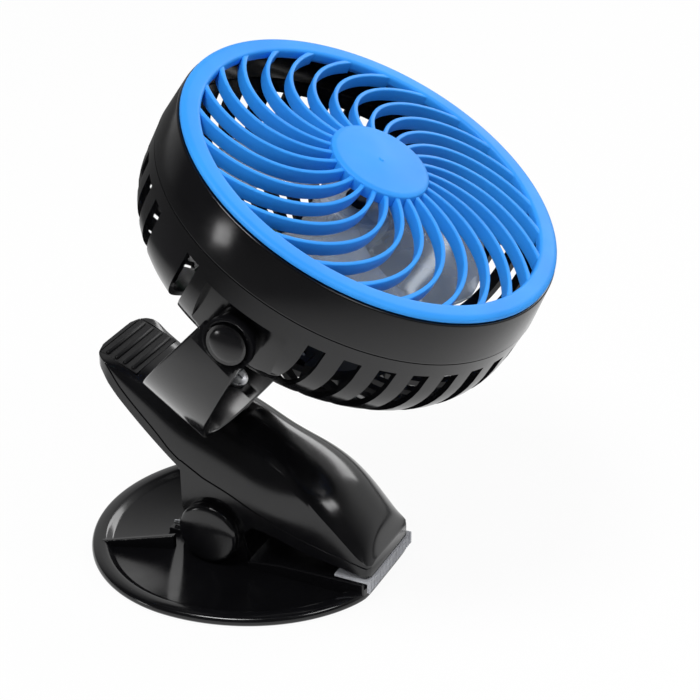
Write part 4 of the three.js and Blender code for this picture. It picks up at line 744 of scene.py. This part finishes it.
# ---- head: motor and its cradle ----
CRADLE_HALF = (12.2, 37.5)
CRADLE_ROOM = (10.6, 35.9)
CRADLE_TOP = -0.6
CRADLE_CEILING = -2.4
CRADLE_BOTTOM = -20.5


def motor_can():
    outline = [(0, -0.3), (12, -0.3), (12, 16), (9.5, 16), (9.2, 15.6), (6.2, 15.6), (5.9, 16),
               (4, 16), (4, 17.5), (1.3, 17.5), (1.3, 10.0), (0, 10.0)]
    turned("motor_can", outline, 0.6, HEAD, "head", "steel", ["motor"])


def motor_cradle():
    (x, y), (room_x, room_y) = CRADLE_HALF, CRADLE_ROOM
    cradle = make("motor_cradle", block((-x, x), (-y, y), (CRADLE_BOTTOM, CRADLE_TOP)), HEAD)
    room = block((-room_x, room_x), (-room_y, room_y), (CRADLE_BOTTOM - 1.5, CRADLE_CEILING))
    combine(cradle, "DIFFERENCE", make("room", room, HEAD))
    combine(cradle, "UNION", make("disc", round_bar(15, CRADLE_CEILING, CRADLE_TOP, CAP_STEPS), HEAD))
    for x, y in MOUNT_PLACES:
        sign = 1 if x > 0 else -1
        across = span(sign, room_x, 19.0)
        combine(cradle, "UNION", make("tab", block(across, (y - 4, y + 4), (-22.6, -20.3)), HEAD))
        combine(cradle, "DIFFERENCE", make("hole", round_bar(MOUNT_HOLE, -24, -19), on_head(x, y)))
    dress(cradle, "head", "black_matte", ["motor_mount"], bevel=0.35, sharp=40)


# ---- fan ----
BLADE_COUNT = 4
BLADE_ROOT_RADIUS = 13.8
BLADE_TIP_RADIUS = 53.0
BLADE_THICKNESS = 1.6
BLADE_SPAN = 66.0
BLADE_SWEEP = 24.0
BLADE_ROOT = (13.0, 26.0)
BLADE_TIP = (17.0, 27.0)
BLADE_STATIONS = 24
BLADE_COLUMNS = 20
BLADE_ROUND_FROM = 0.8  # share of the blade's length after which its corners are rounded


def blade_rounding(t):
    """Share of the blade's width at t along it."""
    past = t - BLADE_ROUND_FROM
    return 1.0 if past < 0 else 1 - 2.2 * past * (past / (1 - BLADE_ROUND_FROM)) ** 0.6


def blade(index):
    rings = []
    shares = [k / BLADE_COLUMNS for k in range(BLADE_COLUMNS + 1)]
    middle = BLADE_THICKNESS / 2
    for i in range(BLADE_STATIONS + 1):
        t = i / BLADE_STATIONS
        radius = mix(BLADE_ROOT_RADIUS, BLADE_TIP_RADIUS, t)

        def point(share, side):
            across = (share - 0.5) * blade_rounding(t)
            angle = radians(360 * index / BLADE_COUNT + BLADE_SWEEP * t ** 1.4 + BLADE_SPAN * across)
            low, high = mix(BLADE_ROOT[0], BLADE_TIP[0], t), mix(BLADE_ROOT[1], BLADE_TIP[1], t)
            thick = BLADE_THICKNESS * 0.495 * (1 - (2 * share - 1) ** 6) ** 0.5
            z = mix(low, high, 0.5 + across) + sin(pi * share) + middle + side * thick
            return (radius * cos(angle), radius * sin(angle), z)

        rings.append([point(s, -1) for s in shares] + [point(s, 1) for s in reversed(shares[1:-1])])
    return loft(rings)


def fan():
    blades = make("fan_blades", merged(*[blade(i) for i in range(BLADE_COUNT)]), HEAD)
    dress(blades, "fan", "smoky", ["impeller"], sharp=50)
    outline = [(0, 27.0), (1.3, 27.0), (1.3, 20), (2.8, 20), (2.8, 26.5), (13, 26.5),
               (13, 8), (14.5, 8), (14.5, 26), (12.5, 28), (0, 28)]
    turned("fan_hub", outline, 0.5, HEAD, "fan", "smoky")
    outline = [(0, 28.3), (5, 28.3), (5, 30), (3.6, 31), (0, 31)]
    turned("fan_cap", outline, 0.6, HEAD, "fan", "black_matte", ["impeller_cap"])


# ---- yoke ----
STRAP_HALF_SPAN = 76.0
STRAP_DEPTH = 74.6
STRAP_SQUARENESS = 2.35
STRAP_THICKNESS = 2.5
STRAP_HALF = (9.6, 16.9)
STRAP_SHIFT = (-1.5, -4.8)
ARM_END_RADIUS = 9.7
ARM_RECESS_RADIUS = 7.6
ARM_RECESS_DEPTH = 1.6
SWIVEL_HOLE = 2.7  # radius of the swivel screw's holes
TILT_CAP_DOME = 2.2


def strap_section(turn):
    power = 2 / STRAP_SQUARENESS
    outward = (1 if cos(turn) >= 0 else -1) * abs(cos(turn)) ** power
    down = max(sin(turn), 0.0) ** power
    half, shift = mix(*STRAP_HALF, down), mix(*STRAP_SHIFT, down)
    corners = [(-half, 0.0), (half, 0.0), (half, STRAP_THICKNESS), (-half, STRAP_THICKNESS)]
    return [(shift + x, outward * (STRAP_HALF_SPAN - d), -down * (STRAP_DEPTH - d))
            for x, d in softened(corners, 0.8, True, 3)]


def yoke():
    strap = make("yoke_strap", loft([strap_section(pi * i / 120) for i in range(121)]), YOKE)
    cutters = [make("hole", round_bar(SWIVEL_HOLE, -80, -60), YOKE)]
    discs = []
    for _, side in SIDES:
        y = span(side, STRAP_HALF_SPAN - ARM_RECESS_DEPTH, STRAP_HALF_SPAN + 1)
        cutters.append(make("recess", round_bar(ARM_RECESS_RADIUS, *y, CAP_STEPS, "Y"), YOKE))
        y = span(side, STRAP_HALF_SPAN - 6, STRAP_HALF_SPAN + 1)
        cutters.append(make("bore", round_bar(TILT_HOLE, *y, PIN_STEPS, "Y"), YOKE))
        y = span(side, STRAP_HALF_SPAN - STRAP_THICKNESS, STRAP_HALF_SPAN)
        discs.append(make("disc", round_bar(ARM_END_RADIUS, *y, CAP_STEPS, "Y"), YOKE))
    combine(strap, "UNION", *discs)
    combine(strap, "DIFFERENCE", *cutters)
    dress(strap, "yoke", "black_gloss", ["yoke"], bevel=0.3, sharp=45)


def tilt_caps():
    radius = ARM_RECESS_RADIUS - GAP
    seat = STRAP_HALF_SPAN - ARM_RECESS_DEPTH + GAP
    top = STRAP_HALF_SPAN + TILT_CAP_DOME
    turns = [radians(a) for a in range(12, 90, 13)]
    dome = [(radius * cos(a), STRAP_HALF_SPAN + TILT_CAP_DOME * sin(a)) for a in turns]
    outline = [(0, 76.4), (4.4, 76.4), (4.4, seat), (radius, seat)] + dome + [(0, top)]
    paired("tilt_dome_", lathe(outline, axis="Y"), YOKE, "yoke", "tilt_cap_")


def swivel():
    washer = [(SWIVEL_HOLE, -77.2), (11, -77.2), (11, -74.9), (SWIVEL_HOLE, -74.9)]
    turned("swivel_ring", washer, 0.5, YOKE, "yoke", "black_matte", ["swivel_washer"], closed=True)
    screw("swivel_bolt", YOKE, 5.5, (-69.4, -71.8), 2.4, -91.0, "lever", "swivel_screw")


# ---- clip: lever ----
CROWN = ((-50.3, 81.6), (-38, 77.5), (-25, 72.8), (-5, 66.6), (8, 62.2), (22, 56), (38.5, 47.9),
         (47, 43), (54, 37.8), (60.5, 31), (66, 23.6), (69.3, 15.1))
SIDE_TOP = ((-50.3, 81.2), (-25, 68), (0, 56), (20, 48.5), (32, 44.6), (42, 38.6), (53, 29.4),
            (59, 23.4), (64.4, 18.0), (69.3, 14.5))  # where its sides end near the tip
CREASE = (18, 58)  # x between which the arch turns into a top between two creases
BEAD_LINE = ((-50.3, 81), (-46, 80.3), (-44, 79), (-37.8, 70), (-20.8, 51.7), (-16.5, 46.8),
             (-7.8, 40.4), (9.8, 33.1), (22.8, 27), (40.1, 21.2), (57.3, 16.9), (69.3, 13.7))
LOWER_EDGE = ((-50.3, 76), (-47.5, 75.5), (-45.7, 74), (-38.2, 64.6), (-19.7, 46), (-9.3, 37.3),
              (10, 24), (16, 20.5), (23.5, 19.8), (40.1, 15.6), (57.3, 12.2), (69.3, 9.5))
JAW_HALF_WIDTH = 20.5
HALF_WIDTH = ((-50.3, 11.5), (-49, 16), (-46, 19), (-42, JAW_HALF_WIDTH), (45, JAW_HALF_WIDTH),
              (66, 19.3), (68, 18.8), (69.3, 16.5))
SQUARENESS = ((-50, 6), (-32, 4), (-10, 2.6), (20, 2.4), (45, 2.8), (60, 4), (69, 6))
BEAD = 0.45
HOOD_WALL = 2.3
EAR_RADIUS = 13.0
CAP_RADIUS = 12.7
CAP_RIM = 3.3
CAP_DOME = 2.1
PIN_HOLE = 2.8  # radius of the pivot pin's holes
HIGH_LEG_ANGLE = 36.9  # of the spring's upper leg
GRIP = Matrix.Translation((-40.5, 0, 77.95)) @ Matrix.Rotation(radians(20.7), 4, "Y")


def hood_section(x, wall, drop, bead, steps):
    """Across the hood: an arch that becomes, towards the tip, upright sides with a low arch between them."""
    half = along(HALF_WIDTH, x) - wall
    low = along(LOWER_EDGE, x) - drop
    top = along(CROWN, x) - wall * 1.1
    shoulder = min(along(BEAD_LINE, x), top - max(wall * 0.1, 0.05))
    square = along(SQUARENESS, x)
    share = min(max((x - CREASE[0]) / (CREASE[1] - CREASE[0]), 0), 1)
    share = share * share * (3 - 2 * share)
    edge = min(max(along(SIDE_TOP, x) - wall * 1.1, mix(shoulder, top, 0.1)), mix(shoulder, top, 0.8))
    side_steps = steps // 5
    upper = steps - 2 * side_steps
    first = asin(((edge - shoulder) / (top - shoulder)) ** (square / 2))
    right = []
    for i in range(side_steps):
        rise = (edge - shoulder) / (top - shoulder) * i / side_steps
        round_y = (1 - rise ** square) ** (1 / square)
        right.append((x, (half - bead) * mix(round_y, 1, share), mix(shoulder, top, rise)))
    crest = []
    for i in range(upper + 1):
        turn = mix(first, pi - first, i / upper)
        round_y = (1 if cos(turn) >= 0 else -1) * abs(cos(turn)) ** (2 / square)
        round_z = shoulder + (top - shoulder) * max(sin(turn), 0.0) ** (2 / square)
        across = cos(pi * i / upper)
        low_z = mix(edge, top, 1 - abs(across) ** 2.5)
        crest.append((x, (half - bead) * mix(round_y, across, share), mix(round_z, low_z, share)))
    arch = right + crest + [(px, -py, pz) for px, py, pz in reversed(right)]
    if not bead:
        return [(x, half, low)] + arch + [(x, -half, low)]
    r = 0.25
    outer = [(x, half - r, low), (x, half, low + r), (x, half, shoulder - r), (x, half - r, shoulder)]
    return outer + arch + [(px, -py, pz) for px, py, pz in reversed(outer)]


def hood_loft(start, end, stations, wall, drop, bead, steps):
    rings = []
    for i in range(stations + 1):
        u = i / stations
        eased = u - 0.8 * sin(2 * pi * u) / (2 * pi)
        rings.append(hood_section(mix(start, end, eased), wall, drop, bead, steps))
    return loft(rings)


def lever_ear(side):
    x, _, z = PIVOT
    outline = [(x - EAR_RADIUS, z), (-12, along(LOWER_EDGE, -12) + 3.8), (22, along(LOWER_EDGE, 22) + 3.8),
               (x + EAR_RADIUS, z)]
    arc = [(x + EAR_RADIUS * cos(a), z + EAR_RADIUS * sin(a)) for a in (-pi * k / 24 for k in range(1, 24))]
    return slab(outline + arc, *span(side, JAW_HALF_WIDTH - HOOD_WALL, JAW_HALF_WIDTH))


def lever():
    hood = make("lever_hood", hood_loft(-50.3, 69.3, 84, 0, 0, BEAD, 44))
    combine(hood, "DIFFERENCE", make("hollow", hood_loft(-47.5, 54, 50, HOOD_WALL, HOOD_WALL, 0, 30)))
    seat = [(0, -88), (8, -88), (8, -84), (12, -84), (12, -78.1), (11.4, -77.5), (0, -77.5)]
    additions = [make("ear", lever_ear(side)) for _, side in SIDES]
    additions.append(make("seat", lathe(seat), YOKE))
    leg = AT_PIVOT @ Matrix.Rotation(radians(-HIGH_LEG_ANGLE), 4, "Y")
    additions.append(make("web", block((7.4, 9.4), (-18.5, 18.5), (30, 38)), leg))
    combine(hood, "UNION", *additions)
    cutters = [make("hole", round_bar(PIN_HOLE, -25, 25, PIN_STEPS, "Y"), AT_PIVOT),
               make("hole", round_bar(SWIVEL_HOLE, -92, -70), YOKE)]
    cutters += [make("recess", block((-9, 9), (-15.8, 15.8), (-1.2, 5)), GRIP),
                make("seat", block((55.7, 67.3), (-16.9, 16.9), (0, 11.5)))]
    near, far = CAP_RADIUS + GAP, CAP_RADIUS + 2
    floor, over = JAW_HALF_WIDTH - 0.7, JAW_HALF_WIDTH + 1
    groove = lathe([(near, floor), (far, floor), (far, over), (near, over)], closed=True, axis="Y")
    cutters += [make("groove", sided(groove, side), AT_PIVOT) for _, side in SIDES]
    combine(hood, "DIFFERENCE", *cutters)
    dress(hood, "lever", "black_gloss", ["upper_jaw"], sharp=32)


def thumb_grip():
    plate = make("grip_plate", block((-8.7, 8.7), (-15.5, 15.5), (-0.9, 0.1)), GRIP)
    dress(plate, "lever", "black_matte", ["thumb_grip"], bevel=0.3)
    ridges = []
    ends = ((-14.6, 0.15), (-14.3, 0.7), (-13.8, 1), (13.8, 1), (14.3, 0.7), (14.6, 0.15))
    for i in range(4):
        x = (i - 1.5) * 4
        section = [(0.95 * cos(radians(a)), 0.05 + 0.85 * sin(radians(a))) for a in range(0, 181, 20)]
        section += [(-0.95, -0.3), (0.95, -0.3)]
        ridges.append(loft([[(x + px * scale, y, pz * scale) for px, pz in section] for y, scale in ends]))
    dress(make("grip_ridges", merged(*ridges), GRIP), "lever", "black_matte", sharp=50)


def tip_pad():
    outline = [(56, 9.4), (67, 9.4), (67, 11.2), (62, 11.2), (56, 11.95)]
    dress(make("tip_pad", slab(outline, -16.6, 16.6)), "lever", "pale_grey", ["upper_jaw_pad"], bevel=0.25)


# ---- clip: base ----
TRAY_MIDDLE = 3.0
TRAY_REAR = 59.5
TRAY_FRONT = 69.0
TRAY_HALF_WIDTH = 61.7
TRAY_CUT = 68.7
TRAY_FLOOR = 1.3
TRAY_STEPS = 160
FOOT_PLACES = (45, 135, 225, 315)
FOOT_INSET = 4.6


def tray_point(angle, inset):
    turn = radians(angle)
    x = TRAY_MIDDLE + ((TRAY_FRONT if cos(turn) > 0 else TRAY_REAR) - inset) * cos(turn)
    front = TRAY_CUT - inset
    return (x + front - hypot(x - front, 0.8)) / 2, (TRAY_HALF_WIDTH - inset) * sin(turn)


def tray_ring(inset, z):
    return [(*tray_point(360 * i / TRAY_STEPS, inset), z) for i in range(TRAY_STEPS)]


def base_tray():
    section = [(8.8, TRAY_FLOOR), (7.4, 2.2), (5.6, 3.5), (3.0, 3.62),
               (0.9, 3.3), (0.15, 2.2), (0, 0.8), (0.8, 0)]
    tray = make("base_tray", loft([tray_ring(*point) for point in softened(section, 0.8, steps=3)]))
    places = [Matrix.Translation((*tray_point(angle, FOOT_INSET), 0)) for angle in FOOT_PLACES]
    combine(tray, "DIFFERENCE", *[make("foot", round_bar(3.5, -1, 1.3), place) for place in places])
    dress(tray, "base", "black_gloss", ["base"], sharp=40)
    outline = [(0, 0), (3.2, 0), (3.2, 1), (0, 1)]
    for i, place in enumerate(places):
        turned(f"foot_disc_{i + 1}", outline, 0.3, place, "base", "rubber", [f"foot_pad_{i + 1}"], 40)


def base_walls():
    for name, side in SIDES:
        rings = []
        for i in range(13):
            t = i / 12
            x, y = mix(-16, -46, t), mix(20.3, 32, t)
            top = mix(7.4, 3.2, t)
            corners = softened([(y - 1.2, 0.6), (y + 1.2, 0.6), (y + 1.2, top), (y - 1.2, top)], 0.5, True, 3)
            rings.append([(x, side * py, pz) for py, pz in corners])
        dress(make("base_wall_" + name, loft(rings)), "base", "black_gloss", sharp=45)


def base_beam():
    profile = [(17, 0.4), (68.3, 0.4), (68.5, 7.7), (31.2, 6.3), (17, 4.2)]
    beam = make("base_beam", slab(profile, -20.5, 20.5))
    combine(beam, "INTERSECT", make("limit", loft([tray_ring(0.25, z) for z in (0, 12)])))
    dress(beam, "base", "black_gloss", bevel=0.6, sharp=35, segments=3)


def base_ears():
    for name, side in SIDES:
        arc = [(PIVOT[0] + 11 * cos(a), PIVOT[2] + 11 * sin(a)) for a in (pi * k / 28 for k in range(29))]
        ear = make("base_ear_" + name, slab([(-14, 0.6), (16.5, 0.6)] + arc, *span(side, 15.3, 17.8)))
        combine(ear, "DIFFERENCE", make("hole", round_bar(PIN_HOLE, -25, 25, PIN_STEPS, "Y"), AT_PIVOT))
        dress(ear, "base", "black_gloss", bevel=0.4, sharp=40)
    rest = make("spring_rest", block((-24, -19), (-11, 11), (0.6, 3.18)))
    dress(rest, "base", "black_gloss", bevel=0.5)


def jaw_strip():
    bottom, rear, front = 8.0, 69.0, 70.1
    outline = [(55, bottom), (rear, bottom), (rear, 4), (front, 4), (front, bottom + 1.1), (55, bottom + 1.1)]
    strip = make("jaw_strip", slab(outline, -20, 20))
    cutters = []
    for i in range(27):
        y = (i - 13) * 1.4
        cutters.append(make("tooth", block((front - 0.6, front + 1), (y - 0.3, y + 0.3), (3, bottom + 3))))
    combine(strip, "DIFFERENCE", *cutters)
    dress(strip, "base", "pale_grey", ["lower_jaw_pad"], bevel=0.12)


def pivot_pieces():
    inner = JAW_HALF_WIDTH + GAP
    rim = inner + CAP_RIM
    dome = [(CAP_RADIUS * cos(radians(a)), rim + CAP_DOME * sin(radians(a))) for a in range(20, 90, 10)]
    outline = [(0, 22.8), (PIN_HOLE, 22.8), (PIN_HOLE, inner), (CAP_RADIUS, inner), (CAP_RADIUS, rim)]
    shape = lathe(softened(outline + dome + [(0, rim + CAP_DOME)], 0.4, steps=2), axis="Y")
    paired("pivot_dome_", shape, AT_PIVOT, "base", "pivot_cap_")


SPRING_RADIUS = 6.2
SPRING_PITCH = 2.4
SPRING_WIRE = 0.9
SPRING_CURLS = 6
LOW_LEG_ANGLE = -80.0


def spring_path():
    radius, low, high = SPRING_RADIUS, LOW_LEG_ANGLE, HIGH_LEG_ANGLE
    turns = SPRING_CURLS + (high - low) / 360
    steps = round(turns * 40)
    coil = []
    for i in range(steps + 1):
        angle = radians(low + 360 * turns * i / steps)
        coil.append((radius * cos(angle), SPRING_PITCH * turns * (i / steps - 0.5), radius * sin(angle)))

    def leg(point, angle, length):
        return (point[0] - length * sin(radians(angle)), point[1], point[2] + length * cos(radians(angle)))

    low_leg = [leg(coil[0], low, -26), leg(coil[0], low, -1)]
    return low_leg + coil + [leg(coil[-1], high, 1), leg(coil[-1], high, 34)]


CELL_Z = -12.4
CELL_COIL_RADIUS = 3.4
CELL_COIL_START = -35.3
CELL_COIL_PITCH = 1.267
CELL_COIL_CURLS = 3


def cell_coil():
    """Spring that presses on the cell's near end."""
    radius, steps = CELL_COIL_RADIUS, 36
    path = []
    for i in range(CELL_COIL_CURLS * steps + 1):
        angle = 2 * pi * i / steps
        y = CELL_COIL_START + CELL_COIL_PITCH * i / steps
        path.append((radius * cos(angle), y, CELL_Z + radius * sin(angle)))
    dress(make("cell_coil", sweep(path, 0.3, 12), HEAD), "head", "steel", ["battery_spring"], sharp=50)


def clip_spring():
    """The clip's torsion spring about the pivot; it rides on no body and stays still."""
    spring = make("clip_spring", sweep(spring_path(), SPRING_WIRE, 14), AT_PIVOT)
    dress(spring, None, "steel", ["torsion_spring"], sharp=50)
    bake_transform(spring)


# Camera, light and floor
def camera():
    azimuth, elevation = radians(CAMERA_AZIMUTH), radians(CAMERA_ELEVATION)
    back = Vector((sin(azimuth) * cos(elevation), -cos(azimuth) * cos(elevation), sin(elevation)))
    right = Vector((cos(azimuth), sin(azimuth), 0))
    data = bpy.data.cameras.new("camera")
    data.lens = CAMERA_LENS
    data.sensor_width = CAMERA_SENSOR
    data.clip_end = 50
    eye = bpy.data.objects.new("camera", data)
    place = Matrix((right, back.cross(right), back)).transposed().to_4x4()
    place.translation = Vector(CAMERA_PLACE) * MM
    eye.matrix_world = place
    SCENE.collection.objects.link(eye)
    SCENE.camera = eye


ROOM_LIGHT = 0.40  # level of the room that lights the object
ROOM_FRONT_LEVEL = 0.05  # behind the camera, as gloss shows it
ROOM_BACK_LEVEL = 0.75  # behind the object, as gloss shows it
ROOM_TOP_SHARE = 0.15  # of that level overhead
FLOOR_HALF_SIZE = 4000.0
FLOOR_GLOW = 0.93  # share of the floor's look that its own white takes
FLOOR_FADE = (0.20, 0.42)  # metres from the object between which the floor fades in gloss
FLOOR_FAR_LEVEL = 0.06  # of the floor in gloss beyond that
AIM = (0.02, 0.0, 0.1)


def soft_box(name, place, target, size, power):
    data = bpy.data.lights.new(name, "AREA")
    data.shape = "RECTANGLE"
    data.size, data.size_y = size
    data.energy = power
    light = bpy.data.objects.new(name, data)
    light.location = place
    light.rotation_euler = (Vector(target) - Vector(place)).to_track_quat("-Z", "Y").to_euler()
    SCENE.collection.objects.link(light)


def math_node(tree, operation, *sources):
    """One step of arithmetic on two sockets or numbers."""
    node = tree.nodes.new("ShaderNodeMath")
    node.operation = operation
    for socket, source in zip(node.inputs, sources):
        if isinstance(source, float):
            socket.default_value = source
        else:
            tree.links.new(source, socket)
    return node.outputs[0]


def background_level(tree, glossy_level):
    """Returns 1 for camera, transmission and glossy rays, and the level that each of them sees."""
    path = tree.nodes.new("ShaderNodeLightPath")
    mirrored = path.outputs["Is Glossy Ray"]
    plain = math_node(tree, "MAXIMUM", path.outputs["Is Camera Ray"], path.outputs["Is Transmission Ray"])
    glossy = math_node(tree, "MULTIPLY", mirrored, glossy_level)
    return math_node(tree, "MAXIMUM", plain, mirrored), math_node(tree, "MAXIMUM", plain, glossy)


def studio_world():
    """White behind the object; in gloss the room is white behind it and dark behind the camera."""
    world = bpy.data.worlds.new("world")
    SCENE.world = world
    world.use_nodes = True
    tree = world.node_tree
    axes = tree.nodes.new("ShaderNodeSeparateXYZ")
    tree.links.new(tree.nodes.new("ShaderNodeTexCoord").outputs["Generated"], axes.inputs["Vector"])
    behind = spread(tree, axes.outputs["Y"], ROOM_FRONT_LEVEL, ROOM_BACK_LEVEL, -0.1, 0.7)
    overhead = spread(tree, axes.outputs["Z"], 1.0, ROOM_TOP_SHARE, 0.5, 0.85)
    seen, level = background_level(tree, math_node(tree, "MULTIPLY", behind, overhead))
    lit = math_node(tree, "MULTIPLY", math_node(tree, "SUBTRACT", 1.0, seen), ROOM_LIGHT)
    background = set_inputs(tree.nodes["Background"], Color=(1, 1, 1, 1))
    tree.links.new(math_node(tree, "ADD", level, lit), background.inputs["Strength"])


def studio_floor():
    """Pale floor that keeps the shadow; it shows white, and in gloss it fades out away from the object."""
    half, drop = FLOOR_HALF_SIZE, -0.4
    corners = [(-half, -half, drop), (half, -half, drop), (half, half, drop), (-half, half, drop)]
    floor = make("floor", (corners, [(0, 1, 2, 3)]))
    material, tree, bsdf = new_material("floor")
    set_inputs(bsdf, Base_Color=(0.9, 0.9, 0.9, 1), Roughness=0.8, Specular_IOR_Level=0.0)
    away = tree.nodes.new("ShaderNodeVectorMath")
    away.operation = "LENGTH"
    tree.links.new(tree.nodes.new("ShaderNodeTexCoord").outputs["Object"], away.inputs[0])
    nearby = spread(tree, away.outputs["Value"], 1.0, FLOOR_FAR_LEVEL, *FLOOR_FADE)
    seen, level = background_level(tree, nearby)
    glow = set_inputs(tree.nodes.new("ShaderNodeEmission"), Color=(1, 1, 1, 1))
    tree.links.new(level, glow.inputs["Strength"])
    blend = tree.nodes.new("ShaderNodeMixShader")
    shares = (math_node(tree, "MULTIPLY", seen, FLOOR_GLOW), bsdf.outputs[0], glow.outputs[0])
    for socket, source in zip(blend.inputs, shares):
        tree.links.new(source, socket)
    tree.links.new(blend.outputs[0], tree.nodes["Material Output"].inputs["Surface"])
    floor.data.materials.append(material)


def lamp(name, azimuth, elevation, distance, size, power):
    """A soft box seen from the object at these degrees."""
    turn, rise = radians(azimuth), radians(elevation)
    way = Vector((cos(turn) * cos(rise), sin(turn) * cos(rise), sin(rise)))
    soft_box(name, Vector(AIM) + way * distance, AIM, size, power)


def studio():
    studio_world()
    studio_floor()
    lamp("key", -100, 66, 1.7, (0.6, 0.5), 17)
    lamp("back", 80, 25, 1.6, (0.9, 0.35), 5)
    lamp("window", -134, -3, 1.5, (0.24, 0.3), 1.5)
    lamp("side", -10, 48, 1.6, (0.5, 0.4), 5)
    SCENE.view_settings.view_transform = "Standard"


def dress_kept_nodes():
    """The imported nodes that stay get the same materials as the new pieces."""
    slots = {entry["node"]: entry["material_slot"] for entry in frame["record"]["subparts"]}
    for name, node in frame["nodes"].items():
        node.data.materials.clear()
        node.data.materials.append(MATERIALS[slots[name]])


def main():
    for step in (
        camera, studio, dress_kept_nodes, guard_ring, guard_hub, guard_ribs, front_band, rear_bowl,
        tilt_bosses, rear_plate, board_posts, speed_dial, battery_door, rear_screws, lamp_lens,
        socket_shell, motor_can, motor_cradle, fan, yoke, tilt_caps, swivel, lever, thumb_grip, tip_pad,
        base_tray, base_walls, base_beam, base_ears, jaw_strip, pivot_pieces, clip_spring, cell_coil
    ):
        step()


main()
